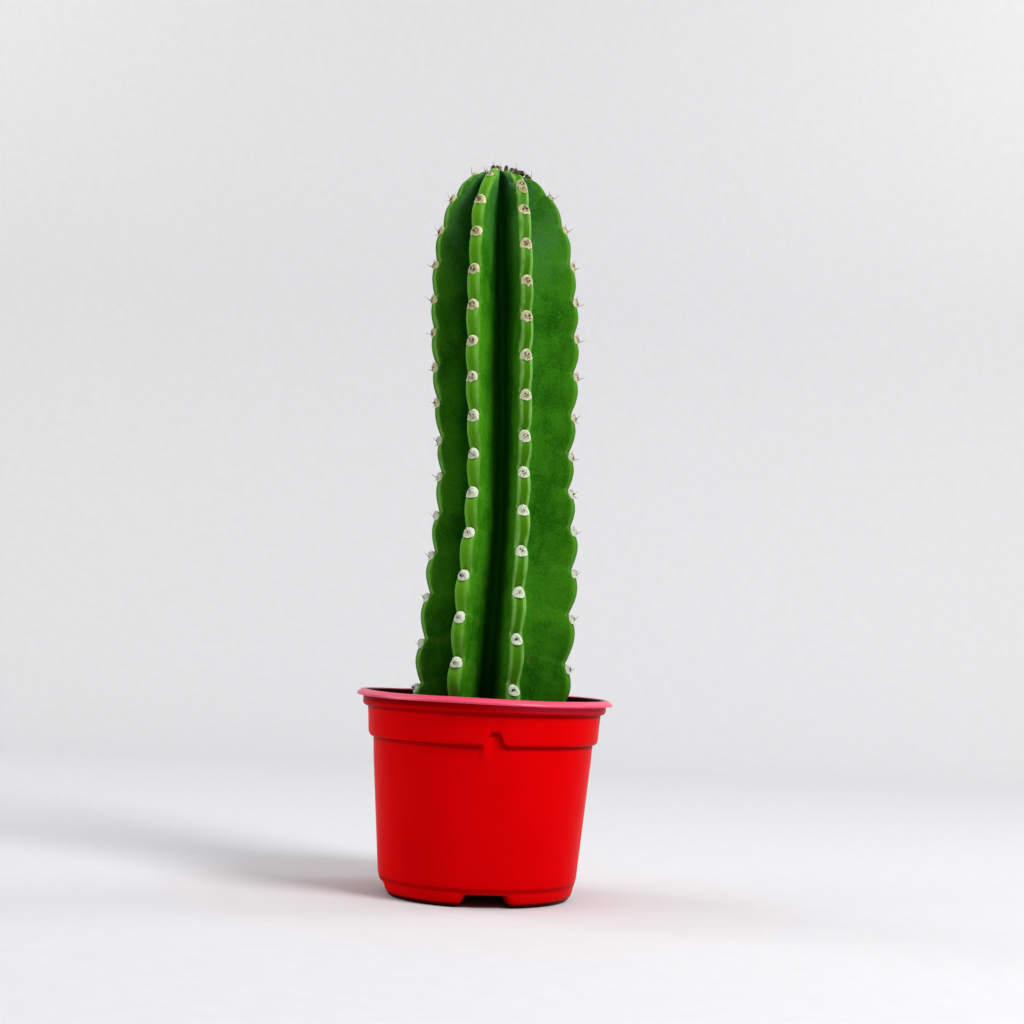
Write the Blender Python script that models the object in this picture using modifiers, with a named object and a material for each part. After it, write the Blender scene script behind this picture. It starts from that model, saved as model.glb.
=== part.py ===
"""Potted columnar cactus: a seven-ribbed stem rooted in potting soil in a thin red nursery pot.

Units are metres and +Z is up. The origin is the centre of the pot's foot, on the surface it stands on.
The front of the object faces -Y. An azimuth is measured from the front, towards +X, in degrees.
"""

import math
import random

import bmesh
import bpy
import numpy as np
from mathutils import Matrix, Vector

MM = 0.001

# Pot: one thin sheet, formed over a mould. Radii and heights are those of the middle of the sheet.
SHEET = 0.9 * MM
RIM_RADIUS = 64.6 * MM
RIM_EDGE_HEIGHT = 97.3 * MM
RIM_LIP = 0.9 * MM
RIM_CROWN_RADIUS = 62.4 * MM
RIM_CROWN_HEIGHT = 100.5 * MM
POT_HEIGHT = 101.0 * MM
COLLAR_RADIUS = 61.4 * MM
COLLAR_HEIGHT = 94.2 * MM
COLLAR_STEP = 1.1 * MM
BAND_TOP_RADIUS = 58.9 * MM
BAND_LOW_RADIUS = 57.7 * MM
LEDGE_HEIGHT = 79.6 * MM
LEDGE_FALL = 2.8 * MM
WALL_TOP_RADIUS = 55.7 * MM
WALL_LOW_RADIUS = 49.7 * MM
HEEL_HEIGHT = 10.0 * MM
HEEL_INSET = 1.2 * MM
HEEL_FALL = 2.2 * MM
FOOT_RADIUS = 45.6 * MM
FOOT_WIDTH = 4.2 * MM
FOOT_ROUND = 1.1 * MM
FOOT_RISE = 1.6 * MM
FLOOR_HEIGHT = 7.0 * MM
POT_COLUMNS = 72
# The stacking lugs and drain notches repeat around the pot, the first pair a little right of the front.
FEATURES = 4
POT_TURN = 3.2
LUG_RISE = 6.2 * MM
LUG_REACH = (-1.0, 6.0)
NOTCH_REACH = 11.0
NOTCH_SIDE = 17.0
NOTCH_SPREAD = 1.22
DRAIN_RADIUS = 3.2 * MM
DRAIN_CIRCLE = 40.5 * MM
DRAIN_SIDES = 12
DRAIN_CUT = 8.0 * MM

# Soil: fills the pot to a little under the rim.
GAP = 0.4 * MM
SEAT_SLACK = 0.1 * MM
LUG_SLACK = 0.6 * MM
SOIL_TOP = 89.0 * MM
SOIL_RADII = (0.0, 14.0 * MM, 24.0 * MM, 32.0 * MM, 40.0 * MM, 47.0 * MM, 53.0 * MM)
SOIL_EDGE_FALL = 0.6 * MM
SOIL_BUMP = 1.1 * MM
SOIL_COLUMNS = 48
SOIL_SEED = 7

# Stem: the crest is the line that runs along the outer edge of a rib, from the growing tip down.
TIP_HEIGHT = 371.5 * MM
DOME_BASE = 295.0 * MM
DOME_SIDE_POWER = 0.727
DOME_RISE_POWER = 0.833
FOOT_CREST_RADIUS = 40.9 * MM
FOOT_CREST_HEIGHT = 100.0 * MM
CREST_TAPER = 0.009
CREST_POINTS = 240
WAIST_DEPTH = 3.9 * MM
WAIST_HEIGHT = 214.0 * MM
WAIST_SPREAD = 40.0 * MM
LEAN_HEIGHT = 183.0 * MM
LEAN_MOST = 6.3 * MM
LEAN_FALL_ABOVE = 11.0 * MM
LEAN_POWER_ABOVE = 1.35
LEAN_FALL_BELOW = 3.2 * MM
LEAN_POWER_BELOW = 1.5
LEAN_SPAN_BELOW = 78.0 * MM
TWIST = 5.5
TWIST_FROM = 180.0 * MM
TWIST_TO = 340.0 * MM
VALLEY_SHARE = 0.44
TIP_VALLEY_SHARE = 0.42
TIP_VALLEY_FADE = 14.0 * MM
NOSE_HALF_WIDTH = 4.0 * MM
NOSE_ROOM = 0.55
NOSE_DEPTH = 3.2 * MM
NOSE_TURN = 52.0
FLANK_SWELL = 1.5 * MM
FLANK_POINT = 0.34
FLANK_SHARE = 0.45
VALLEY_ROUND = 2.5 * MM
STUMP_TOP = 62.0 * MM
# Each ring of the stump: its size as a share of the lowest ring of the ribs, and its fall below that ring.
STUMP_RINGS = ((0.86, 4.5 * MM), (0.5, 8.5 * MM))
STUMP_FOOT_FALL = 0.7 * MM

# Each rib: azimuth at the foot, distance from the tip to its first full areole, and stretch of its spacing.
RIBS = (
    (-77.0, 35.5 * MM, 0.99),
    (-30.0, 22.8 * MM, 1.0),
    (15.0, 27.2 * MM, 1.02),
    (76.0, 31.0 * MM, 1.05),
    (127.0, 25.0 * MM, 1.01),
    (178.0, 34.0 * MM, 1.0),
    (230.0, 28.5 * MM, 1.02),
)
AREOLES = 14
AREOLE_SPACING = 18.5 * MM
AREOLE_GROWTH = 1.0
AREOLE_GROWTH_POWER = 5
YOUNG_SHARES = (0.22, 0.5)
NOTCH_TOP_DEPTH = 2.0 * MM
NOTCH_FOOT_DEPTH = 4.6 * MM
NOTCH_GROWTH_POWER = 1.5
NOTCH_FADE = 24.0 * MM
NORMAL_STEP = 1.5 * MM
SCALLOP_SKEW = 0.458
RING_SHARES = (0.0, 0.2, 0.6)
BURIED_SHARES = (0.3, 0.65, 1.0)

# Areoles: a felt pad with a few short spines in it.
PAD_RADIUS = 3.0 * MM
PAD_SIDES = 6
PAD_ROOT_SCALE = 1.05
PAD_TOP_SCALE = 0.72
PAD_THICKNESS = 0.6
PAD_TILT = 28.0
PAD_SEAT = 0.75
YOUNG_PAD_SCALE = 0.68
PAD_CLEARANCE = 5.8 * MM
SPINE_ROOT_RADIUS = 0.42 * MM
SPINE_LONG = 6.2 * MM
SPINE_SHORT = 5.0 * MM
SPINE_SHORT_FROM = 8
# Each spine of an areole: lean from the pad's axis, and direction of that lean round it from straight down.
SPINES = ((14.0, 150.0), (50.0, -20.0))


def clear_scene():
    for thing in list(bpy.data.objects):
        bpy.data.objects.remove(thing, do_unlink=True)


def new_collection(name):
    made = bpy.data.collections.new(name)
    bpy.context.scene.collection.children.link(made)
    return made


def new_object(name, mesh, collection):
    made = bpy.data.objects.new(name, mesh)
    collection.objects.link(made)
    return made


def material(name, colour, roughness):
    made = bpy.data.materials.new(name)
    made.use_nodes = True
    shader = made.node_tree.nodes["Principled BSDF"]
    shader.inputs["Base Color"].default_value = (*colour, 1.0)
    shader.inputs["Roughness"].default_value = roughness
    shader.inputs["Metallic"].default_value = 0.0
    return made


def evaluated_mesh(thing):
    """The object's mesh with its modifiers applied."""
    graph = bpy.context.evaluated_depsgraph_get()
    return bpy.data.meshes.new_from_object(thing.evaluated_get(graph))


def apply_modifiers(thing):
    mesh = evaluated_mesh(thing)
    thing.modifiers.clear()
    thing.data = mesh


def turned(name, line, columns, collection):
    """A surface of revolution about Z from (radius, height) points, as an applied Screw."""
    mesh = bpy.data.meshes.new(name)
    points = [(radius, 0.0, height) for radius, height in line]
    mesh.from_pydata(points, [(i, i + 1) for i in range(len(points) - 1)], [])
    made = new_object(name, mesh, collection)
    screw = made.modifiers.new("turn", "SCREW")
    screw.steps = screw.render_steps = columns
    screw.use_merge_vertices = True
    screw.merge_threshold = 0.01 * MM
    apply_modifiers(made)
    return made


def cut(thing, cutter):
    """Marks the cutter as a helper and cuts it out of the object."""
    cutter.hide_render = True
    cutter.display_type = "WIRE"
    boolean = thing.modifiers.new("cut_" + cutter.name, "BOOLEAN")
    boolean.operation = "DIFFERENCE"
    boolean.object = cutter
    boolean.solver = "EXACT"


def pot_sheet_line():
    """The middle of the sheet, from the rim's free edge down the outside to the centre of the floor."""
    sole = SHEET / 2
    foot_inside = FOOT_RADIUS - FOOT_WIDTH
    return [
        (RIM_RADIUS, RIM_EDGE_HEIGHT),
        (RIM_RADIUS, RIM_EDGE_HEIGHT + RIM_LIP),
        (RIM_CROWN_RADIUS, RIM_CROWN_HEIGHT),
        (COLLAR_RADIUS, POT_HEIGHT - SHEET / 2),
        (COLLAR_RADIUS, COLLAR_HEIGHT),
        (BAND_TOP_RADIUS, COLLAR_HEIGHT - COLLAR_STEP),
        (BAND_LOW_RADIUS, LEDGE_HEIGHT),
        (WALL_TOP_RADIUS, LEDGE_HEIGHT - LEDGE_FALL),
        (WALL_LOW_RADIUS, HEEL_HEIGHT),
        (WALL_LOW_RADIUS - HEEL_INSET, HEEL_HEIGHT - HEEL_FALL),
        (FOOT_RADIUS + FOOT_ROUND, FOOT_RISE),
        (FOOT_RADIUS, sole),
        (foot_inside, sole),
        (foot_inside - FOOT_ROUND, FLOOR_HEIGHT),
        (0.0, FLOOR_HEIGHT),
    ]


def from_nearest_feature(point):
    """Azimuth of a point of the pot from the nearest of its repeated features, in degrees."""
    pitch = 360.0 / FEATURES
    azimuth = math.degrees(math.atan2(point.x, -point.y))
    return (azimuth + pitch / 2) % pitch - pitch / 2


def shape_pot_sheet(mesh):
    """Lifts the ledge at the stacking lugs, and the foot at the drain notches."""
    lowest_ledge = LEDGE_HEIGHT - LEDGE_FALL
    for vertex in mesh.vertices:
        point = vertex.co
        azimuth = from_nearest_feature(point)
        on_ledge = lowest_ledge - 0.1 * MM < point.z < LEDGE_HEIGHT + 0.1 * MM
        if on_ledge and LUG_REACH[0] < azimuth < LUG_REACH[1]:
            point.z += LUG_RISE
        if point.z < FLOOR_HEIGHT - MM and abs(azimuth) < NOTCH_SIDE:
            turn = math.radians(azimuth * (NOTCH_SPREAD - 1))
            point.rotate(Matrix.Rotation(turn, 3, "Z"))
            if abs(azimuth) < NOTCH_REACH:
                point.z = FLOOR_HEIGHT


def drain_cutter(name, x, y, collection):
    bpy.ops.mesh.primitive_cylinder_add(
        vertices=DRAIN_SIDES, radius=DRAIN_RADIUS, depth=DRAIN_CUT, location=(x, y, FLOOR_HEIGHT)
    )
    made = bpy.context.object
    made.name = name
    for other in list(made.users_collection):
        other.objects.unlink(made)
    collection.objects.link(made)
    return made


def make_pot(parts, cutters):
    pot = turned("pot", pot_sheet_line(), POT_COLUMNS, parts)
    pot.rotation_euler.z = math.radians(POT_TURN)
    shape_pot_sheet(pot.data)
    solidify = pot.modifiers.new("sheet", "SOLIDIFY")
    solidify.thickness = SHEET
    solidify.offset = 0.0
    solidify.use_even_offset = True
    holes = [(0.0, 0.0)]
    for feature in range(FEATURES):
        azimuth = math.radians(POT_TURN + 360.0 / FEATURES * feature)
        holes.append((DRAIN_CIRCLE * math.sin(azimuth), -DRAIN_CIRCLE * math.cos(azimuth)))
    for number, (x, y) in enumerate(holes):
        cut(pot, drain_cutter(f"drain_{number}", x, y, cutters))
    pot.data.materials.append(material("pot_red", (0.62, 0.0, 0.008), 0.32))
    pot.data.shade_smooth()
    pot.data.set_sharp_from_angle(angle=math.radians(30))
    return pot


def crest_radius_at(height):
    """Radius of the rib crests below the dome, with the narrow waist at mid-height."""
    waist = WAIST_DEPTH * np.exp(-(((height - WAIST_HEIGHT) / WAIST_SPREAD) ** 2))
    return FOOT_CREST_RADIUS - CREST_TAPER * (height - FOOT_CREST_HEIGHT) - waist


def crest_line():
    """Distance from the tip, radius and height of close points along a crest, from the tip down."""
    turn = np.linspace(math.pi / 2, 0.0, CREST_POINTS)
    base_radius = crest_radius_at(DOME_BASE)
    dome_radius = base_radius * np.cos(turn) ** DOME_SIDE_POWER
    dome_radius[0] = 0.0
    dome_height = DOME_BASE + (TIP_HEIGHT - DOME_BASE) * np.sin(turn) ** DOME_RISE_POWER
    column_height = np.linspace(DOME_BASE, STUMP_TOP, CREST_POINTS)[1:]
    radius = np.concatenate([dome_radius, crest_radius_at(column_height)])
    height = np.concatenate([dome_height, column_height])
    steps = np.hypot(np.diff(radius), np.diff(height))
    return np.concatenate([[0.0], np.cumsum(steps)]), radius, height


CREST_DISTANCE, CREST_RADII, CREST_HEIGHTS = crest_line()
CREST_LENGTH = float(CREST_DISTANCE[-1])


def crest_at(distance):
    """(radius, height) of the crest at a distance from the tip."""
    return (
        float(np.interp(distance, CREST_DISTANCE, CREST_RADII)),
        float(np.interp(distance, CREST_DISTANCE, CREST_HEIGHTS)),
    )


def crest_normal(distance):
    """Outward normal of the crest line, as (radial, upward)."""
    above = crest_at(max(distance - NORMAL_STEP, 0.0))
    below = crest_at(min(distance + NORMAL_STEP, CREST_LENGTH))
    along = Vector((below[0] - above[0], below[1] - above[1])).normalized()
    return -along.y, along.x


def lean_at(height):
    """Sideways offset of the stem's axis, towards +X."""
    if height > LEAN_HEIGHT:
        share = (height - LEAN_HEIGHT) / (TIP_HEIGHT - LEAN_HEIGHT)
        return LEAN_MOST - LEAN_FALL_ABOVE * share**LEAN_POWER_ABOVE
    share = (LEAN_HEIGHT - height) / LEAN_SPAN_BELOW
    return LEAN_MOST - LEAN_FALL_BELOW * share**LEAN_POWER_BELOW


def twist_at(height):
    """Turn of the ribs round the axis, in degrees."""
    share = min(max((height - TWIST_FROM) / (TWIST_TO - TWIST_FROM), 0.0), 1.0)
    return TWIST * share * share * (3 - 2 * share)


def placed(azimuth, radial, sideways, height):
    """World point from a rib's own directions: outwards, sideways towards higher azimuths, and up."""
    angle = math.radians(azimuth + twist_at(height))
    x = radial * math.sin(angle) + sideways * math.cos(angle)
    y = -radial * math.cos(angle) + sideways * math.sin(angle)
    return Vector((x + lean_at(height), y, height))


def areole_distances(rib):
    """Distances from the tip to the rib's young areoles and then to its full ones."""
    first, stretch = RIBS[rib][1], RIBS[rib][2]
    distances = [first * share for share in YOUNG_SHARES] + [first]
    while len(distances) < len(YOUNG_SHARES) + AREOLES:
        growth = 1 + AREOLE_GROWTH * (distances[-1] / CREST_LENGTH) ** AREOLE_GROWTH_POWER
        distances.append(distances[-1] + AREOLE_SPACING * stretch * growth)
    return distances


def scallop(share):
    """0 in the notch that an areole sits in, and 1 at the shoulder just below it."""
    return math.sin(math.pi * min(share, 1.0) ** SCALLOP_SKEW)


def notch_depth(distance):
    """Depth of the notches that the areoles sit in, which are deepest near the foot."""
    share = (distance / CREST_LENGTH) ** NOTCH_GROWTH_POWER
    grown = NOTCH_TOP_DEPTH + (NOTCH_FOOT_DEPTH - NOTCH_TOP_DEPTH) * share
    return grown * (1 - math.exp(-distance / NOTCH_FADE))


def ring_levels(rib):
    """(distance from the tip, share of the way to the next areole) for each ring, tip first."""
    knots = areole_distances(rib)
    levels = []
    for above, below in zip(knots, knots[1:]):
        levels += [(above + (below - above) * share, share) for share in RING_SHARES]
    last = knots[-1]
    pitch = last - knots[-2]
    levels.append((last, 0.0))
    for share in BURIED_SHARES:
        distance = last + (CREST_LENGTH - last) * share
        levels.append((distance, (distance - last) / pitch))
    return levels


def bezier(points, share):
    """Point of a cubic curve."""
    a, b, c, d = (Vector(point) for point in points)
    rest = 1 - share
    return a * rest**3 + b * (3 * rest**2 * share) + c * (3 * rest * share**2) + d * share**3


def valley_share_at(distance):
    """Radius of the valleys as a share of the crests' radius; the grooves are shallow near the tip."""
    return VALLEY_SHARE + TIP_VALLEY_SHARE * math.exp(-distance / TIP_VALLEY_FADE)


def half_section(crest, half_gap, valley_share):
    """Points between the crest and the valley: (radial, sideways, share of the way to the valley)."""
    angle = math.radians(half_gap)
    width = min(NOSE_HALF_WIDTH, NOSE_ROOM * crest * math.sin(angle))
    size = width / NOSE_HALF_WIDTH
    depth = NOSE_DEPTH * size
    valley = Vector((math.cos(angle), math.sin(angle))) * (valley_share * crest)
    shoulder = Vector((crest - depth, width))
    reach = (shoulder.x - valley.x) / 2
    rounding = VALLEY_ROUND * size
    curve = (
        shoulder,
        shoulder + Vector((-reach, FLANK_SWELL * size * size)),
        valley + Vector((math.sin(angle), -math.cos(angle))) * rounding,
        valley,
    )
    turn = math.radians(NOSE_TURN)
    nose = Vector((crest - depth * (1 - math.cos(turn)), width * math.sin(turn)))
    flank = bezier(curve, FLANK_POINT)
    return [(nose.x, nose.y, 0.0), (flank.x, flank.y, FLANK_SHARE)]


def rib_ring(level, grow):
    """One ring of the stem: crest, two points of a flank, the valley and two points of the next flank."""
    ribs = []
    for rib, (azimuth, _, _) in enumerate(RIBS):
        distance, share = ring_levels(rib)[level]
        radius, height = crest_at(distance)
        out, up = crest_normal(distance)
        inset = notch_depth(distance) * (1 - scallop(share)) - grow
        ribs.append((azimuth, radius, height, inset * out, inset * up, valley_share_at(distance)))
    ring = []
    for this, other in zip(ribs, ribs[1:] + ribs[:1]):
        gap = (other[0] - this[0]) % 360
        valley_radius = (this[1] * this[5] + other[1] * other[5]) / 2
        valley_height = (this[2] + other[2]) / 2
        ring.append(placed(this[0], this[1] - this[3], 0.0, this[2] - this[4]))
        sides = ((this, 1), (other, -1))
        halves = []
        for (azimuth, radius, height, inset, fall, valley_share), side in sides:
            points = []
            for radial, sideways, share in half_section(radius, gap / 2, valley_share):
                fade = 1 - share
                points.append(
                    placed(
                        azimuth,
                        radial - inset * fade + grow * share,
                        side * (sideways + grow),
                        height * fade + valley_height * share - fall * fade,
                    )
                )
            halves.append(points)
        ring += halves[0]
        ring.append(placed(this[0] + gap / 2, valley_radius + grow, 0.0, valley_height))
        ring += reversed(halves[1])
    return ring


def stump_ring(shrink, fall, grow):
    """A ring of the buried foot, like the lowest ring of the ribs but drawn in towards the axis."""
    low = rib_ring(len(ring_levels(0)) - 1, grow)
    centre = sum(low, Vector()) / len(low)
    mean = sum((point - centre).length for point in low) / len(low)
    ring = []
    for point in low:
        out = point - centre
        rounded = out.normalized() * (out.length + mean) / 2
        drop = Vector((0.0, 0.0, fall + grow))
        ring.append(centre + rounded * shrink - drop)
    return ring


def stem_mesh(name, grow=0.0):
    """The closed ribbed stem. grow pushes the whole surface outwards, for the hole in the soil."""
    shell = bmesh.new()
    rings = [rib_ring(level, grow) for level in range(len(ring_levels(0)))]
    rings += [stump_ring(shrink, fall, grow) for shrink, fall in STUMP_RINGS]
    loops = [[shell.verts.new(point) for point in ring] for ring in rings]
    foot = sum((Vector(point) for point in rings[-1]), Vector()) / len(rings[-1])
    tip_vertex = shell.verts.new(Vector((lean_at(TIP_HEIGHT), 0.0, TIP_HEIGHT + grow)))
    foot_vertex = shell.verts.new(foot - Vector((0.0, 0.0, STUMP_FOOT_FALL)))
    count = len(loops[0])
    for upper, lower in zip(loops, loops[1:]):
        for i in range(count):
            j = (i + 1) % count
            shell.faces.new((upper[i], lower[i], lower[j], upper[j]))
    for i in range(count):
        j = (i + 1) % count
        shell.faces.new((tip_vertex, loops[0][i], loops[0][j]))
        shell.faces.new((foot_vertex, loops[-1][j], loops[-1][i]))
    bmesh.ops.recalc_face_normals(shell, faces=shell.faces)
    bmesh.ops.triangulate(shell, faces=shell.faces, quad_method="FIXED")
    mesh = bpy.data.meshes.new(name)
    shell.to_mesh(mesh)
    shell.free()
    return mesh


def areole_frame(rib, distance):
    """Matrix with its origin in the notch of an areole, Z out of the pad and -Y down the rib."""
    azimuth = RIBS[rib][0]
    radius, height = crest_at(distance)
    out, up = crest_normal(distance)
    inset = notch_depth(distance) * PAD_SEAT
    origin = placed(azimuth, radius - inset * out, 0.0, height - inset * up)
    angle = math.radians(azimuth + twist_at(height))
    outwards = Vector((math.sin(angle), -math.cos(angle), 0.0))
    sideways = Vector((math.cos(angle), math.sin(angle), 0.0))
    upwards = Vector((0.0, 0.0, 1.0))
    axis = outwards * out + upwards * up
    along = upwards * out - outwards * up
    tilt = math.radians(PAD_TILT)
    facing = axis * math.cos(tilt) + along * math.sin(tilt)
    frame = Matrix((sideways, facing.cross(sideways), facing)).transposed().to_4x4()
    frame.translation = origin
    return frame


def growth_meshes():
    """The pad, and a spine that stands on its root at the origin, at unit size."""
    pad = bmesh.new()
    bmesh.ops.create_cone(
        pad, cap_ends=True, segments=PAD_SIDES, radius1=PAD_ROOT_SCALE, radius2=PAD_TOP_SCALE, depth=2.0
    )
    pad_mesh = bpy.data.meshes.new("pad")
    pad.to_mesh(pad_mesh)
    pad.free()
    spine = bmesh.new()
    bmesh.ops.create_cone(
        spine, cap_ends=True, segments=3, radius1=1.0, radius2=0.0, depth=1.0,
        matrix=Matrix.Translation((0.0, 0.0, 0.5)),
    )
    spine_mesh = bpy.data.meshes.new("spine")
    spine.to_mesh(spine_mesh)
    spine.free()
    return pad_mesh, spine_mesh


def add_areole(rib, number, distance, meshes, growths):
    """One pad and its spines, as separate objects whose roots lie inside the stem."""
    frame = areole_frame(rib, distance)
    young = number < len(YOUNG_SHARES)
    pad_scale = PAD_RADIUS * (YOUNG_PAD_SCALE if young else 1.0)
    pad = new_object(f"pad_{rib}_{number}", meshes[0], growths)
    pad.matrix_world = frame @ Matrix.Diagonal((pad_scale, pad_scale, pad_scale * PAD_THICKNESS, 1.0))
    length = SPINE_SHORT if number >= SPINE_SHORT_FROM else SPINE_LONG
    for index, (lean, direction) in enumerate(SPINES[:1] if young else SPINES):
        spine = new_object(f"spine_{rib}_{number}_{index}", meshes[1], growths)
        turn = Matrix.Rotation(math.radians(direction), 4, "Z")
        tip_over = Matrix.Rotation(math.radians(lean), 4, "X")
        size = Matrix.Diagonal((SPINE_ROOT_RADIUS, SPINE_ROOT_RADIUS, length, 1.0))
        spine.matrix_world = frame @ turn @ tip_over @ size


def make_stem(parts):
    stem = new_object("cactus_stem", stem_mesh("cactus_stem"), parts)
    growths = new_collection("growths")
    meshes = growth_meshes()
    for rib in range(len(RIBS)):
        for number, distance in enumerate(areole_distances(rib)):
            if crest_at(distance)[1] > SOIL_TOP + PAD_CLEARANCE:
                add_areole(rib, number, distance, meshes, growths)
    union = stem.modifiers.new("growths", "BOOLEAN")
    union.operation = "UNION"
    union.operand_type = "COLLECTION"
    union.collection = growths
    union.solver = "EXACT"
    apply_modifiers(stem)
    for growth in list(growths.objects):
        bpy.data.objects.remove(growth)
    bpy.data.collections.remove(growths)
    stem.data.materials.clear()
    stem.data.materials.append(material("stem_green", (0.05, 0.19, 0.02), 0.45))
    return stem


def soil_line():
    """(radius, height) points of the soil, from the middle of its top down to the middle of its foot."""
    clear = SHEET / 2 + GAP + SEAT_SLACK
    lug_clear = clear + LUG_SLACK
    lug_top = LEDGE_HEIGHT + LUG_RISE + clear
    return [(radius, SOIL_TOP) for radius in SOIL_RADII] + [
        (BAND_LOW_RADIUS - clear, SOIL_TOP - SOIL_EDGE_FALL),
        (BAND_LOW_RADIUS - clear, lug_top),
        (WALL_TOP_RADIUS - lug_clear, lug_top - LEDGE_FALL),
        (WALL_TOP_RADIUS - lug_clear, LEDGE_HEIGHT - LEDGE_FALL),
        (WALL_LOW_RADIUS - clear, HEEL_HEIGHT),
        (FOOT_RADIUS - FOOT_WIDTH, FLOOR_HEIGHT + clear),
        (0.0, FLOOR_HEIGHT + clear),
    ]


def roughen_soil(mesh):
    """Small rises and hollows of the soil's top, left level at its outer edge."""
    draw = random.Random(SOIL_SEED)
    for vertex in mesh.vertices:
        if vertex.co.z > SOIL_TOP - SOIL_EDGE_FALL / 2:
            vertex.co.z += SOIL_BUMP * draw.uniform(-1.0, 1.0)


def make_soil(parts, cutters):
    soil = turned("soil", soil_line(), SOIL_COLUMNS, parts)
    roughen_soil(soil.data)
    cut(soil, new_object("stem_hole", stem_mesh("stem_hole", GAP), cutters))
    soil.data.materials.append(material("soil_brown", (0.045, 0.028, 0.018), 0.95))
    return soil


def main():
    clear_scene()
    parts = new_collection("potted_cactus")
    cutters = new_collection("cutters")
    make_pot(parts, cutters)
    make_soil(parts, cutters)
    make_stem(parts)


main()
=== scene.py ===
"""Potted columnar cactus: the dressed model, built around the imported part.

Run it as a script. Units are metres and +Z is up. The object's front faces -Y, and an azimuth is
measured from the front towards +X, in degrees. The crest line and the spacing of the areoles are those
of the part, so every piece lies where its solid does.
"""

import functools
import math
from collections import namedtuple

import bmesh
import bpy
import numpy as np
from mathutils import Matrix, Vector


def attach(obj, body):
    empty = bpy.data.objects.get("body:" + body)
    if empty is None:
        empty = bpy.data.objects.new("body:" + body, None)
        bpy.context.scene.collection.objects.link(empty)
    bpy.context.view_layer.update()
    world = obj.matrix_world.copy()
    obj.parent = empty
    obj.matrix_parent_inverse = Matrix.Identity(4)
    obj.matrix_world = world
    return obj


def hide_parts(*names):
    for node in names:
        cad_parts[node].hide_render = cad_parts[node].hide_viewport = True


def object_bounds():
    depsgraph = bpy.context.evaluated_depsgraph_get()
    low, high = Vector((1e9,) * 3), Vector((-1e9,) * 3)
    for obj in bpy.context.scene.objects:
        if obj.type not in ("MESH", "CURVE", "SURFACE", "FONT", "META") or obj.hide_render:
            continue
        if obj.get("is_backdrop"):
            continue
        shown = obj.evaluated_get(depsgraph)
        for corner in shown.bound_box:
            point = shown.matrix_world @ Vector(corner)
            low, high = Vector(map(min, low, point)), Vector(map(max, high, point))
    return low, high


bl_info = {
    "name": "Potted Columnar Cactus",
    "version": (1, 0, 0),
    "blender": (4, 5, 0),
    "location": "3D View > Sidebar > Cactus",
    "description": "Builds a ribbed columnar cactus with felted areoles in a thin nursery pot",
    "category": "Add Mesh",
}

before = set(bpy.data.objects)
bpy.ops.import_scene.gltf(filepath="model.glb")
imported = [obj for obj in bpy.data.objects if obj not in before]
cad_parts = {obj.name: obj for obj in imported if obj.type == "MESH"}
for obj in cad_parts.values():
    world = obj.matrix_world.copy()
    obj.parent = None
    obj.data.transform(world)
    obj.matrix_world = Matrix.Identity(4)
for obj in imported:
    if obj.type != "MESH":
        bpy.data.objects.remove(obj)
CAD_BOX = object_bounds()
MM = 0.001
SEEDS = {"notches": 31, "felt": 12, "spines": 5, "crown": 22, "crown spines": 40, "crumbs": 8}

# Crest line of the stem, from the growing tip down, as in the part.
TIP_HEIGHT = 371.5 * MM
DOME_BASE = 295.0 * MM
DOME_SIDE_POWER = 0.727
DOME_RISE_POWER = 0.833
FOOT_CREST_RADIUS = 40.9 * MM
FOOT_CREST_HEIGHT = 100.0 * MM
CREST_TAPER = 0.009
CREST_POINTS = 240
WAIST_DEPTH = 3.9 * MM
WAIST_HEIGHT = 214.0 * MM
WAIST_SPREAD = 40.0 * MM
LEAN_HEIGHT = 183.0 * MM
LEAN_MOST = 6.3 * MM
LEAN_FALL_ABOVE = 11.0 * MM
LEAN_POWER_ABOVE = 1.35
LEAN_FALL_BELOW = 3.2 * MM
LEAN_POWER_BELOW = 1.5
LEAN_SPAN_BELOW = 78.0 * MM
TWIST = 5.5
TWIST_FROM = 180.0 * MM
TWIST_TO = 340.0 * MM

# The buried foot: the height of the skin's last row, then the size and the fall of each ring below it.
STUMP_TOP = 62.0 * MM
STUMP_RINGS = ((0.86, 4.5 * MM), (0.5, 8.5 * MM))
STUMP_FOOT_FALL = 0.7 * MM
TIP_DIP = 0.3 * MM
TIP_FORM = (0.0, -1.0, 1.0)
BURIED_FORM = (2.0, 16.0, 1.0)

# Section of a rib: a rounded nose, then flanks that run down to the valley.
VALLEY_SHARE = 0.44
TIP_VALLEY_SHARE = 0.42
TIP_VALLEY_FADE = 14.0 * MM
NOSE_HALF_WIDTH = 4.0 * MM
NOSE_ROOM = 0.55
NOSE_DEPTH = 3.2 * MM
NOSE_TOP_POWER = 0.78
NOSE_SIDE_POWER = 0.92
NOSE_SHARE = 0.08
GROOVE_WIDTH = 0.42
FLANK_SWELL = 1.5 * MM
VALLEY_ROUND = 2.5 * MM
NOSE_TURNS = np.array((14.0, 27.0, 39.0, 50.0, 61.0, 73.0, 90.0))
FLANK_POINTS = np.array((0.06, 0.14, 0.24, 0.35, 0.47, 0.6, 0.74, 0.88))
# In a gap narrower than CLOSED_GAP degrees the place across the rib reaches 2 in the valley, which takes the
# full painted valley shade; in a wider gap it goes only the OPEN_FORM share of the way past 1, so little of
# that shade lies there.
CLOSED_GAP = 50.0
OPEN_FORM = 0.36
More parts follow.
